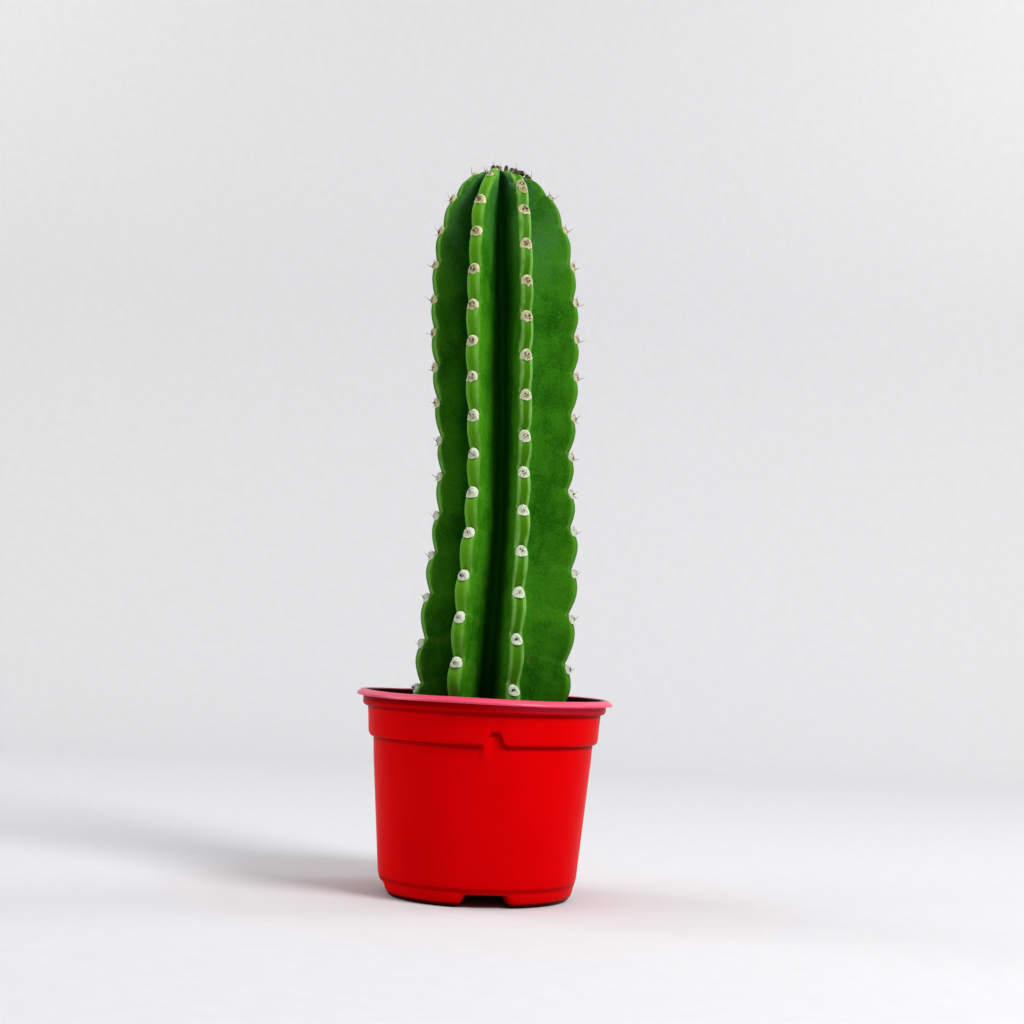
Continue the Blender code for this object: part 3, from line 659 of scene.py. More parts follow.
def stem_grid(groove):
    """Points of the skin and its form (across the rib, level, paleness), each (rows, columns, 3)."""
    levels = stem_levels()
    tone = seeded("notches").uniform(*NOTCH_TONES, (len(RIBS), AREOLES_A_RIB + 2))
    ribs = []
    for number, (azimuth, *_) in enumerate(RIBS):
        distance, share, inset = rib_rows(number, levels, tone)
        radius, height = crest_at(distance)
        radius = np.maximum(radius - pull_at(number, height), 0.2 * MM)
        out, up = crest_normal(distance)
        valley = valley_share_at(distance)
        ribs.append(Rib(number, azimuth, radius, height, share, inset * out, inset * up, valley))
    blocks, forms = [], []

    def add(points, across, pale):
        blocks.append(points)
        forms.append(np.stack(np.broadcast_arrays(across, levels[:, None], pale), -1))

    for this, other in zip(ribs, ribs[1:] + ribs[:1]):
        gap = (other.azimuth - this.azimuth) % 360
        # a wide gap is marked as shallower, so that little painted valley shade lies in it
        closed = 1.0 if gap < CLOSED_GAP else OPEN_FORM
        valley_radius = (this.radius * this.valley_share + other.radius * other.valley_share) / 2
        valley_height = (this.height + other.height) / 2
        bead = groove * np.minimum(this.radius / (20 * MM), 1.0)
        crest = placed(
            this.azimuth, this.radius - this.inset - bead, wander_at(this.number, this.height),
            this.height - this.fall,
        )
        add(crest[:, None], 0.0, RIBS[this.number][3])
        halves = []
        for rib, side in ((this, 1), (other, -1)):
            widen = 0.88 + 0.18 * scallop(rib.share) * (0.3 + 0.7 * smooth(7, 14, levels))
            section = section_half(rib.radius, gap / 2, rib.valley_share, widen, groove)
            radial, sideways, way, across = section
            fade = 1 - way
            local = fade**5
            points = placed(
                rib.azimuth,
                radial - rib.inset[:, None] * local,
                side * sideways + wander_at(rib.number, rib.height)[:, None] * fade,
                rib.height[:, None] * fade + valley_height[:, None] * way - rib.fall[:, None] * local,
            )
            halves.append((points, np.minimum(across, 1) + np.maximum(across - 1, 0) * closed))
        (near, near_across), (far, far_across) = halves
        add(near, near_across, RIBS[this.number][3])
        add(placed(this.azimuth + gap / 2, valley_radius, 0.0, valley_height)[:, None], 1 + closed, 1.0)
        add(far[:, ::-1], far_across[::-1], RIBS[other.number][3])
    return np.concatenate(blocks, 1), np.concatenate(forms, 1)


def stem_skin_mesh(settings):
    """The skin, closed by the tip above and by a blunt stump that is buried in the soil."""
    grid, form = stem_grid(settings.groove)
    rows, columns = grid.shape[:2]
    centre = grid[-1].mean(0)
    out = grid[-1] - centre
    size = np.linalg.norm(out, axis=1, keepdims=True)
    rounder = out / size * (size + size.mean()) / 2
    rings = [centre + rounder * shrink - [0, 0, fall] for shrink, fall in STUMP_RINGS]
    tip = [lean_at(TIP_HEIGHT), 0.0, TIP_HEIGHT - TIP_DIP]
    bottom = rings[-1].mean(0) - [0, 0, STUMP_FOOT_FALL]
    points = np.concatenate([grid.reshape(-1, 3), *rings, [tip, bottom]])
    form = np.concatenate([form.reshape(-1, 3), [BURIED_FORM] * (2 * columns), [TIP_FORM, BURIED_FORM]])
    faces = grid_faces(rows + 2, columns, top=len(points) - 2, foot=len(points) - 1)
    mesh = mesh_of("stem_skin", points, faces, [("form", form)])
    roughen_skin(mesh, form, settings.relief)
    return mesh


def roughen_skin(mesh, form, relief):
    """Slow swell of the whole skin, and the shallow creases that run in from the notches near the foot."""
    points = point_values(mesh, "co")
    across, level = form[:, 0], form[:, 1]
    swell = 0.6 * lattice_noise(points * [1, 1, 0.6], 14 * MM, 3) + 0.3 * lattice_noise(points, 5 * MM, 4)
    beside = smooth(0.95, 1.2, across) * (1 - smooth(1.4, 1.9, across))
    crease = peak(level - np.round(level), 0, 0.12) * beside * smooth(11, 14, level)
    shift = relief * swell * smooth(-1, 1.5, level) - 0.12 * MM * crease
    moved = points + point_values(mesh, "normal") * shift[:, None]
    mesh.vertices.foreach_set("co", moved.astype(np.float32).ravel())
    mesh.update()


# areoles


def areole_frame(rib, distance, below=0.0):
    """Matrix on a scallop's upper slope, Z out of the pad and -Y down the rib, some way below its areole."""
    azimuth = RIBS[rib][0]
    radius, height = crest_at(distance + below)
    out, up = crest_normal(distance + below)
    radius -= pull_at(rib, height)
    share = NOTCH_LEAD + below / AREOLE_SPACING
    depth = notch_depth(rib, distance)
    inset = depth * (1 - scallop(share)) + PAD_SINK
    slope = (scallop(share + PAD_REACH) - scallop(share - PAD_REACH)) / (2 * PAD_REACH)
    height += PAD_LIFT
    origin = placed(azimuth, radius - inset * out, wander_at(rib, height), height - inset * up)
    angle = math.radians(azimuth + twist_at(height))
    outwards = Vector((math.sin(angle), -math.cos(angle), 0.0))
    sideways = Vector((math.cos(angle), math.sin(angle), 0.0))
    upwards = Vector((0.0, 0.0, 1.0))
    tilt = math.atan(slope * depth / AREOLE_SPACING)
    axis = outwards * float(out) + upwards * float(up)
    along = upwards * float(out) - outwards * float(up)
    facing = axis * math.cos(tilt) + along * math.sin(tilt)
    made = Matrix((sideways, facing.cross(sideways), facing)).transposed().to_4x4()
    made.translation = Vector(origin)
    return made


def each_areole():
    """(rib, number, distance) of every areole above the soil."""
    for rib in range(len(RIBS)):
        for number, distance in enumerate(areole_distances(rib)):
            if crest_at(distance)[1] > SOIL_TOP + AREOLE_CLEARANCE:
                yield rib, number, distance


def pad_shape(width, height, depth, draw, hollow):
    """Points of a felt pad, from its middle outwards, and how deep in its mouth each lies, from 0 to 1.

    The pad is a hood, high above and at both sides of a mouth, with two legs and a tongue that hang below.
    """
    turn = np.linspace(0, 2 * math.pi, PAD_COLUMNS, endpoint=False)
    side, rise = np.cos(turn), np.sin(turn)
    waves = [0.03 * np.sin(count * turn + draw.uniform(0, 6)) for count in (2, 3)]
    outline = 1 + waves[0] + waves[1]
    low = np.maximum(-rise, 0)
    tongue_at = draw.uniform(-0.3, 0.3)
    legs = peak(low, 0.58, 0.24) * (low > 0) * (1 + draw.uniform(-0.5, 0.5) * side)
    tongue = peak(side, tongue_at, 0.2) * (low > 0)
    hanging = 0.14 * legs - 0.2 * smooth(0.6, 0.9, low) + 0.24 * tongue
    outline *= 1 + hollow * hanging - 0.05 * np.abs(side) ** 3
    ring = np.array((0.0,) + PAD_RINGS)[:, None]
    x, y = side * ring, rise * ring
    strand = peak(x, tongue_at, 0.17) * smooth(0.15, -0.15, y)
    spread = np.hypot(x * 1.05, y + 0.12)
    deep = (1 - smooth(0.36, 0.66, spread)) * (1 - 0.75 * strand)
    mouth = np.maximum(deep, 0.4 * (1 - smooth(0.6, 0.86, spread)))
    hood = 0.76 + 0.24 * rise - 0.3 * smooth(0.4, 1.0, low)
    inner = 1 - hollow * (0.72 - 0.4 * strand)
    ridge = smooth(0.22, 0.6, ring) if hollow > 0.3 else smooth(0.0, 0.3, ring)
    tall = depth * (inner + (hood - inner) * ridge) * np.sqrt(1 - ring**2.3)
    across = x * outline * (1 - 0.1 * y) * width / 2
    tall = tall - 0.35 * MM * ring - PAD_BEND * across**2
    points = np.stack([across, y * outline * height / 2, tall], -1)
    return np.concatenate([points[0, :1], points[1:].reshape(-1, 3)]), np.append(mouth[0, 0], mouth[1:])


PAD_FACES = grid_faces(len(PAD_RINGS), PAD_COLUMNS, 1, 0, 1 + len(PAD_RINGS) * PAD_COLUMNS)


def age_of(number):
    """0 for the newest full areole and 1 for the oldest."""
    return min(max((number - 2) / (AREOLES - 1), 0.0), 1.0)


def hollow_of(age):
    """How open the mouth of a pad is at an age, from 0 to 1."""
    return max(0.0, 0.88 - 0.8 * age)


def pad_places():
    """(rib, number, matrix, share of the full size) of every pad."""
    for rib, number, distance in each_areole():
        yield rib, number, areole_frame(rib, distance), 1.0
    rib, number, below, size = TWIN
    yield rib, number, areole_frame(rib, areole_distances(rib)[number], below), size


def build_felt(settings):
    """Felt pads of the areoles, and the loose hairs on them."""
    draw = seeded("felt")
    heap = Heap()
    for rib, number, matrix, size in pad_places():
        age = age_of(number)
        grown, brown = NEW_AREOLES.get((rib, number), YOUNG_FELT.get(number, GROWN_FELT))
        width = settings.pad_width * grown * size * draw.uniform(0.95, 1.04)
        height = settings.pad_height * grown * size * draw.uniform(0.94, 1.05)
        depth = settings.pad_depth * (0.4 + 0.6 * grown) * draw.uniform(0.92, 1.1) * (1 + 0.12 * age)
        hollow = min(hollow_of(age) * draw.uniform(0.85, 1.15), 1.0)
        stout_shade = STOUT_SHADED_RIBS.get(rib, 0.0)
        if stout_shade:
            height, depth = height * 0.85, depth * 1.15
        points, mouth = pad_shape(width, height, depth, draw, hollow)
        # painted shade: the middle of these pads is greyed
        if stout_shade:
            mouth = np.maximum(mouth, stout_shade * (0.3 + 0.55 * smooth(0.0, 0.5, points[:, 2] / depth)))
        spots = points + 0.1 * rib + 0.013 * number
        rough, fine = lattice_noise(spots, 0.95 * MM, 7), lattice_noise(spots, 0.45 * MM, 9)
        points = points * (1 + (0.04 * rough + 0.025 * fine)[:, None])
        points[:, 2] += 0.13 * MM * rough + 0.08 * MM * fine
        # the mouth's colour fades with age, less on pads greyed by painted shade
        tints = np.stack([0 * mouth + age, 0 * mouth + brown, mouth * (1 - (0.65 - 0.45 * stout_shade) * age)], -1)
        points = np.concatenate([points, [[0, 0, -PAD_ROOT_DEPTH]]])
        tints = np.concatenate([tints, [[age, brown, 0]]])
        heap.add(transformed(matrix, points), PAD_FACES, tints)
        for _ in range(int(settings.fibres * grown)):
            turn, ring = draw.uniform(0, 2 * math.pi), draw.uniform(0.3, 0.97) ** 0.6
            place = int(turn / (2 * math.pi) * PAD_COLUMNS) % PAD_COLUMNS
            level = int(np.argmin(np.abs(ring - np.array(PAD_RINGS))))
            root = points[1 + level * PAD_COLUMNS + place]
            way = np.array([math.cos(turn) * ring, math.sin(turn) * ring - 0.35, 0.7 + 0.5 * (1 - ring)])
            way = way + draw.normal(0, 0.35, 3)
            way /= np.linalg.norm(way)
            reach = draw.uniform(0.3, 0.9) * MM
            ends = transformed(matrix, [root - way * 0.2 * MM, root + way * reach])
            heap.add_cone(ends, draw.uniform(0.04, 0.08) * MM, 3, (age, brown, 0.0))
    return heap.mesh("areole_felt")


def build_spines(settings):
    """Thin spines of the areoles, fewer on the older ones, and the stubs of those that face outwards."""
    draw = seeded("spines")
    heap = Heap()
    for rib, number, distance in each_areole():
        age = age_of(number)
        grown = NEW_AREOLES.get((rib, number), GROWN_FELT)[0]
        matrix = areole_frame(rib, distance)
        chosen = SPINE_SETS[int(draw.integers(len(SPINE_SETS)))]
        kept = chosen[: 3 if age < 0.3 else 2 if age < 0.75 else 1]
        if number == 0 or (rib, number) == LONE_SPINE[0]:
            kept = ()
        for lean, direction, size, drop in kept:
            lean = math.radians(lean + draw.normal(0, 6))
            turn = math.radians(direction + draw.normal(0, 12))
            out = math.sin(lean)
            way = np.array([out * math.sin(turn), -out * math.cos(turn), math.cos(lean)])
            root = np.array([way[0] * 1.3, way[1] * 1.3 - drop, 0.5]) * MM
            reach = settings.spine_length * size * draw.uniform(0.85, 1.15) * (1 - 0.35 * age) + 1.0 * MM
            radius = settings.spine_radius * draw.uniform(0.9, 1.15)
            bend = draw.normal(0, 0.12, 3) * MM
            ends = transformed(matrix, [root, root + way * reach])
            heap.add_cone(ends, radius, 6, (age, 0.0), bend, 4)
        spots = STUB_SPOTS[int(draw.integers(len(STUB_SPOTS)))]
        for side, rise in spots[: 2 if age < 0.55 else int(draw.integers(0, 2))]:
            root = np.array([side, rise, 0.3]) * MM * grown + np.append(draw.normal(0, 0.12, 2), 0) * MM
            reach = settings.pad_depth * (1.12 - 0.72 * hollow_of(age)) * grown * draw.uniform(0.95, 1.1)
            way = np.array([side * 0.12, rise * 0.12 - 0.06, 1.0])
            radius = 0.6 * MM * grown * draw.uniform(0.8, 1.1)
            bend = draw.normal(0, 0.08, 3) * MM
            ends = transformed(matrix, [root, root + way * reach])
            heap.add_cone(ends, radius, 8, (age, 1.0), bend, 4, 0.5)
    return heap.mesh("areole_spines")


# growing tip


def tip_point(azimuth, distance, lift=0.0):
    """A point of the domed tip at an azimuth and distance from it, lifted along its normal."""
    radius, height = crest_at(distance)
    out, up = crest_normal(distance)
    return placed(azimuth, radius + lift * out, 0.0, height + lift * up)


def build_crown():
    """Wool tufts of the newest areoles round the growing tip."""
    draw = seeded("crown")
    heap = Heap()
    for number, (azimuth, distance, lift, half_width, half_height, brown) in enumerate(CROWN_TUFTS):
        points = pad_shape(2 * half_width * MM, 2 * half_width * MM, half_height * MM, draw, 0.1)[0]
        points = points * (1 + 0.16 * lattice_noise(points + 0.03 * number, 0.8 * MM, 5)[:, None])
        points = np.concatenate([points, [[0, 0, -(1.2 + lift) * MM]]])
        turn = Matrix.Translation(Vector(tip_point(azimuth, distance * MM, lift * MM)))
        heap.add(transformed(turn, points), PAD_FACES, np.array([0.1, brown, 0.2]))
        for _ in range(TUFT_HAIRS):
            way = draw.normal(0, 0.5, 3) + [0, 0, 0.7]
            way /= np.linalg.norm(way)
            spot = way * [half_width, half_width, half_height] * MM * 0.8
            ends = transformed(turn, [spot, spot + way * draw.uniform(0.4, 1.0) * MM])
            shade = min(max(brown + draw.normal(0, 0.3), 0.0), 2.0)
            heap.add_cone(ends, draw.uniform(0.07, 0.15) * MM, 3, (0.1, shade, 0.2))
    return heap.mesh("crown_wool")


def build_crown_spines(settings):
    """First spines of the tip, and the lone one beside the first rib's second areole."""
    draw = seeded("crown spines")
    heap = Heap()
    for azimuth, distance, lean, reach in CROWN_SPINES:
        root = tip_point(azimuth, distance * MM)
        lean = math.radians(lean)
        way = np.array([math.sin(lean), draw.uniform(-0.15, 0.05), math.cos(lean)])
        bend = draw.normal(0, 0.15, 3) * MM
        heap.add_cone((root, root + way * reach * MM), settings.spine_radius * 1.1, 6, (0.0, 0.0), bend, 4)
    (rib, number), beside, way, bend = LONE_SPINE
    root = np.array(areole_frame(rib, areole_distances(rib)[number]).translation) + np.array(beside) * MM
    ends = (root, root + np.array(way) * MM)
    heap.add_cone(ends, settings.spine_radius * 1.2, 6, (0.0, 0.0), np.array(bend) * MM, 4)
    return heap.mesh("crown_spines")


# pot


def rise_of_lug(azimuth):
    """How far the stacking ledge is lifted at an azimuth from the nearest feature, from 0 to 1."""
    return float(np.interp(azimuth, (-2.6, 0.3, 5.2, 7.6), (0.0, 1.0, 1.0, 0.0)))


def fade_of_ledge(azimuth):
    """How far the step under the ledge has faded out, on the soft side of a lug, from 0 to 1."""
    return float(np.interp(azimuth, (-4.6, -2.8, -0.4, 0.6), (0.0, 1.0, 1.0, 0.0)))


def rise_of_notch(azimuth):
    """How far the foot is lifted into a drain notch at an azimuth from the nearest feature, from 0 to 1."""
    return float(np.interp(abs(azimuth - 2.4), (12.0, 16.6), (1.0, 0.0)))


def lip_rise(azimuth, height):
    """How far the lip is bent up, from nothing where it leaves the collar. The height is in mm."""
    bent = float(np.interp((azimuth + 180) % 360 - 180, LIP_AZIMUTHS, LIP_RISES))
    return bent * MM * float(smooth(*LIP_BEND_HEIGHTS, height))


def from_feature(azimuth):
    """Azimuth measured from the nearest of the pot's repeated features."""
    pitch = 360.0 / FEATURES
    return (azimuth + pitch / 2) % pitch - pitch / 2


def pot_line(azimuth):
    """(radius, height, rounding) corners of the sheet's middle at an azimuth, from the rim inwards, in mm."""
    near = from_feature(azimuth)
    notch = rise_of_notch(near)
    floor = FLOOR_HEIGHT / MM
    heel = [(radius, height + (floor - height) * notch, rounding) for radius, height, rounding in HEEL]
    fades = abs(math.cos(math.radians(azimuth))) > FRONT_AND_BACK
    under = 55.4 + 1.9 * fade_of_ledge(near) * fades
    ledge = LEDGE_HEIGHT / MM + LEDGE_RISE / MM * rise_of_lug(near)
    return [
        *RIM, (58.9, 93.2, 0.2), (57.8, ledge + 1.0, 1.1), (under, ledge, 0.2), (54.9, 70.0, 2.5),
        (49.75, 10.4, 2.2), *heel, (40.3, floor, 0.6), (0.4, floor, 0.0),
    ]


# Steps of each straight of the pot's plain line, so that every azimuth has the same count.
PLAIN_LINE = pot_line(45.0)
STRAIGHT_STEPS = [
    max(1, math.ceil(math.dist(start[:2], end[:2]) / LONGEST_STRAIGHT))
    for start, end in zip(PLAIN_LINE, PLAIN_LINE[1:])
]


def rounded(line):
    """Points along a line of corners, each rounded by an arc, with long straights cut into even steps."""
    spots = [Vector((radius, height)) for radius, height, _ in line]
    runs = []
    for i, (_, _, rounding) in enumerate(line):
        if rounding == 0.0:
            runs.append([spots[i]])
            continue
        before, after = spots[i - 1] - spots[i], spots[i + 1] - spots[i]
        cut = min(rounding, before.length * 0.45, after.length * 0.45)
        start, end = spots[i] + before.normalized() * cut, spots[i] + after.normalized() * cut
        shares = [step / CORNER_STEPS for step in range(CORNER_STEPS + 1)]
        runs.append([start * (1 - t) ** 2 + spots[i] * 2 * t * (1 - t) + end * t**2 for t in shares])
    made = list(runs[0])
    for run, following, steps in zip(runs, runs[1:], STRAIGHT_STEPS):
        made += [run[-1].lerp(following[0], step / steps) for step in range(1, steps)] + following
    return made


def build_pot(settings):
    """The middle of the pot's sheet, from the rim's free edge to the middle of the floor."""
    columns = settings.columns
    grid = []
    for column in range(columns):
        azimuth = 360.0 / columns * column
        angle = math.radians(azimuth + POT_TURN)
        grid.append([
            (p.x * MM * math.sin(angle), -p.x * MM * math.cos(angle), p.y * MM + lip_rise(azimuth, p.y))
            for p in rounded(pot_line(azimuth))
        ])
    grid = np.array(grid).transpose(1, 0, 2)
    points = np.concatenate([grid.reshape(-1, 3), [[0.0, 0.0, FLOOR_HEIGHT]]])
    return mesh_of("pot_shell", points, grid_faces(len(grid), columns, foot=len(points) - 1))


def apply_modifiers(piece):
    graph = bpy.context.evaluated_depsgraph_get()
    mesh = bpy.data.meshes.new_from_object(piece.evaluated_get(graph))
    piece.modifiers.clear()
    piece.data = mesh


def finish_pot(piece):
    """Gives the sheet its thickness and drills the drain holes."""
    thick = piece.modifiers.new("sheet", "SOLIDIFY")
    thick.thickness = SHEET
    thick.offset = 0.0
    thick.use_even_offset = True
    apply_modifiers(piece)
    holes = [(0.0, 0.0)]
    for feature in range(FEATURES):
        azimuth = math.radians(POT_TURN + 360.0 / FEATURES * feature)
        holes.append((DRAIN_CIRCLE * math.sin(azimuth), -DRAIN_CIRCLE * math.cos(azimuth)))
    drills = []
    for x, y in holes:
        bpy.ops.mesh.primitive_cylinder_add(
            vertices=DRAIN_SIDES, radius=DRAIN_RADIUS, depth=DRAIN_CUT, location=(x, y, FLOOR_HEIGHT)
        )
        drills.append(bpy.context.object)
        cut = piece.modifiers.new("drain", "BOOLEAN")
        cut.operation = "DIFFERENCE"
        cut.object = drills[-1]
        cut.solver = "EXACT"
    apply_modifiers(piece)
    for drill in drills:
        bpy.data.objects.remove(drill)
    piece.data.shade_smooth()
    piece.data.set_sharp_from_angle(angle=math.radians(SHARP_ANGLE))
    mark_folds(piece.data)


def mark_folds(mesh):
    """Marks each point with its height above the ledge in mm, the ledge's fading, and the lip's rise in mm."""
    marks = []
    for vertex in mesh.vertices:
        azimuth = math.degrees(math.atan2(vertex.co.x, -vertex.co.y)) - POT_TURN
        near = from_feature(azimuth)
        ledge = LEDGE_HEIGHT + LEDGE_RISE * rise_of_lug(near)
        marks += [(vertex.co.z - ledge) / MM, fade_of_ledge(near), lip_rise(azimuth, vertex.co.z / MM) / MM]
    mesh.attributes.new("fold", "FLOAT_VECTOR", "POINT").data.foreach_set("vector", marks)


# potting mix


def build_soil():
    """The bed of potting mix, with the stem's hole in it, and the grid of its rough top."""
    inner = []
    for line in stem_grid(0.0)[0].transpose(1, 0, 2):
        line = line[np.argsort(line[:, 2])]
        inner.append([np.interp(SOIL_TOP, line[:, 2], line[:, axis]) for axis in (0, 1)])
    inner = np.array(inner)
    columns, middle = len(inner), inner.mean(0)
    out = inner - middle
    hole = inner + out / np.linalg.norm(out, axis=1, keepdims=True) * HOLE_SLACK
    turn = np.unwrap(np.arctan2(inner[:, 1], inner[:, 0]))
    even = turn[0] + (turn[-1] - turn[0]) * np.arange(columns) / (columns - 1)
    turn = 0.55 * turn + 0.45 * even
    wall = np.stack([np.cos(turn), np.sin(turn)], 1) * SOIL_RADIUS * MM
    # the stem's hole from below, then the top from the hole to the pot, then the side down to the floor
    rings = [(middle + (hole - middle) * 0.5, 60 * MM), (hole, 64 * MM), (hole, SOIL_TOP - 2.5 * MM)]
    first = len(rings)
    rings += [(hole + (wall - hole) * share, SOIL_TOP) for share in np.linspace(0, 1, SOIL_ROWS) ** 0.9]
    rings += [(wall * (radius / SOIL_RADIUS), height * MM) for radius, height in SOIL_SIDE]
    grid = np.stack([np.column_stack([ring, np.full(columns, height)]) for ring, height in rings])
    top = grid[first : first + SOIL_ROWS]
    spots = top.reshape(-1, 3)
    flat = spots * [1, 1, 0]
    rough = sum(height * lattice_noise(flat, scale * MM, seed) for height, scale, seed in SOIL_LUMPS)
    edge = smooth(50 * MM, 57 * MM, np.linalg.norm(spots[:, :2], axis=1))
    spots[:, 2] += rough * MM - 1.2 * MM * edge
    points = np.concatenate([grid.reshape(-1, 3), [[*middle, PIT_FLOOR], [0, 0, SOIL_FLOOR]]])
    faces = grid_faces(len(grid), columns, top=len(points) - 2, foot=len(points) - 1)
    return mesh_of("soil_bed", points, faces), top


def build_crumbs(settings, top):
    """Loose crumbs, bark bits and pale grit that lie on the soil, each half sunk in it."""
    draw = seeded("crumbs")
    made = bmesh.new()
    bmesh.ops.create_icosphere(made, subdivisions=2, radius=1.0)
    ball = np.array([vertex.co for vertex in made.verts])
    ball_faces = [[vertex.index for vertex in face.verts] for face in made.faces]
    made.free()
    heap = Heap()
    rows, columns = top.shape[:2]
    for number in range(settings.clods + settings.grit):
        pale = number >= settings.clods
        row, column = int(draw.integers(1, rows - 1)), int(draw.integers(columns))
        size = draw.uniform(*(GRIT_RADII if pale else CLOD_RADII)) * MM
        if not pale and draw.random() < BARK_SHARE:
            size *= BARK_SIZE
        shape = ball * (1 + 0.28 * lattice_noise(ball + number * 0.37, 0.8, 2)[:, None])
        shape = shape * draw.uniform(0.55, 1.25, 3) * size
        turn = Matrix.Rotation(draw.uniform(0, 6.28), 3, "Z")
        turn = turn @ Matrix.Rotation(draw.uniform(-0.7, 0.7), 3, "X")
        spot = top[row, column] + [0, 0, size * 0.1]
        tint = (draw.uniform(0, 1), 1.0 if pale else 0.0, draw.uniform(0, 1))
        heap.add(shape @ np.array(turn).T + spot, ball_faces, np.array(tint))
    return heap.mesh("soil_crumbs")


# materials


class Paint:
    """A procedural material, and short calls that add nodes to it. An input is a value or a node's socket.

    It starts with a shader of a given roughness, the object's own coordinates, and the parts of a point
    attribute.
    """

    def __init__(self, name, roughness, attribute=None):
        self.made = bpy.data.materials.new(name)
        self.made.use_nodes = True
        self.tree = self.made.node_tree
        self.shader = self.tree.nodes["Principled BSDF"]
        self.shader.inputs["Roughness"].default_value = roughness
        self.place = self.node("ShaderNodeTexCoord").outputs["Object"]
        self.colour = None
        if attribute:
            marks = self.node("ShaderNodeAttribute", attribute_name=attribute)
            self.marks = self.parts(marks.outputs["Vector"])

    def fill(self, socket, value):
        if isinstance(value, bpy.types.NodeSocket):
            self.tree.links.new(value, socket)
        elif socket.type == "RGBA" and len(value) == 3:
            socket.default_value = (*value, 1.0)
        else:
            socket.default_value = value

    def node(self, kind, inputs=None, **settings):
        added = self.tree.nodes.new(kind)
        for key, value in settings.items():
            setattr(added, key, value)
        for key, value in (inputs or {}).items():
            self.fill(added.inputs[key], value)
        return added

    def parts(self, vector):
        return tuple(self.node("ShaderNodeSeparateXYZ", {0: vector}).outputs)

    def noise(self, scale, detail=3.0, roughness=0.55, upright=None):
        """Noise, drawn out along Z where a scale for that axis is given."""
        place = self.place
        if upright is not None:
            drawn_out = {"Vector": place, "Scale": (1.0, 1.0, upright)}
            place = self.node("ShaderNodeMapping", drawn_out).outputs[0]
        inputs = {"Vector": place, "Scale": scale, "Detail": detail, "Roughness": roughness}
        return self.node("ShaderNodeTexNoise", inputs).outputs["Fac"]

    def ramp(self, value, low, high, out_low=0.0, out_high=1.0):
        """value mapped smoothly from (low, high) to (out_low, out_high)."""
        inputs = {"Value": value, "From Min": low, "From Max": high, "To Min": out_low, "To Max": out_high}
        return self.node("ShaderNodeMapRange", inputs, interpolation_type="SMOOTHSTEP").outputs["Result"]

    def maths(self, operation, first, second=0.0):
        return self.node("ShaderNodeMath", {0: first, 1: second}, operation=operation).outputs[0]

    def product(self, *factors):
        return functools.reduce(functools.partial(self.maths, "MULTIPLY"), factors)

    def mixed(self, share, first, second):
        return self.node("ShaderNodeMix", {0: share, 6: first, 7: second}, data_type="RGBA").outputs[2]

    def over(self, share, tone):
        """Lays a tone over the colour so far."""
        self.colour = self.mixed(share, self.colour, tone)

    def finish(self, bumps=(), **values):
        """Links the colour and the bumps (height, strength, distance), and fills the shader's inputs."""
        self.fill(self.shader.inputs["Base Color"], self.colour)
        for name, value in values.items():
            self.fill(self.shader.inputs[name.replace("_", " ")], value)
        under = None
        for height, strength, distance in bumps:
            inputs = {"Height": height, "Strength": strength, "Distance": distance}
            bump = self.node("ShaderNodeBump", inputs)
            if under:
                self.tree.links.new(under, bump.inputs["Normal"])
            under = bump.outputs["Normal"]
        if under:
            self.tree.links.new(under, self.shader.inputs["Normal"])
        return self.made


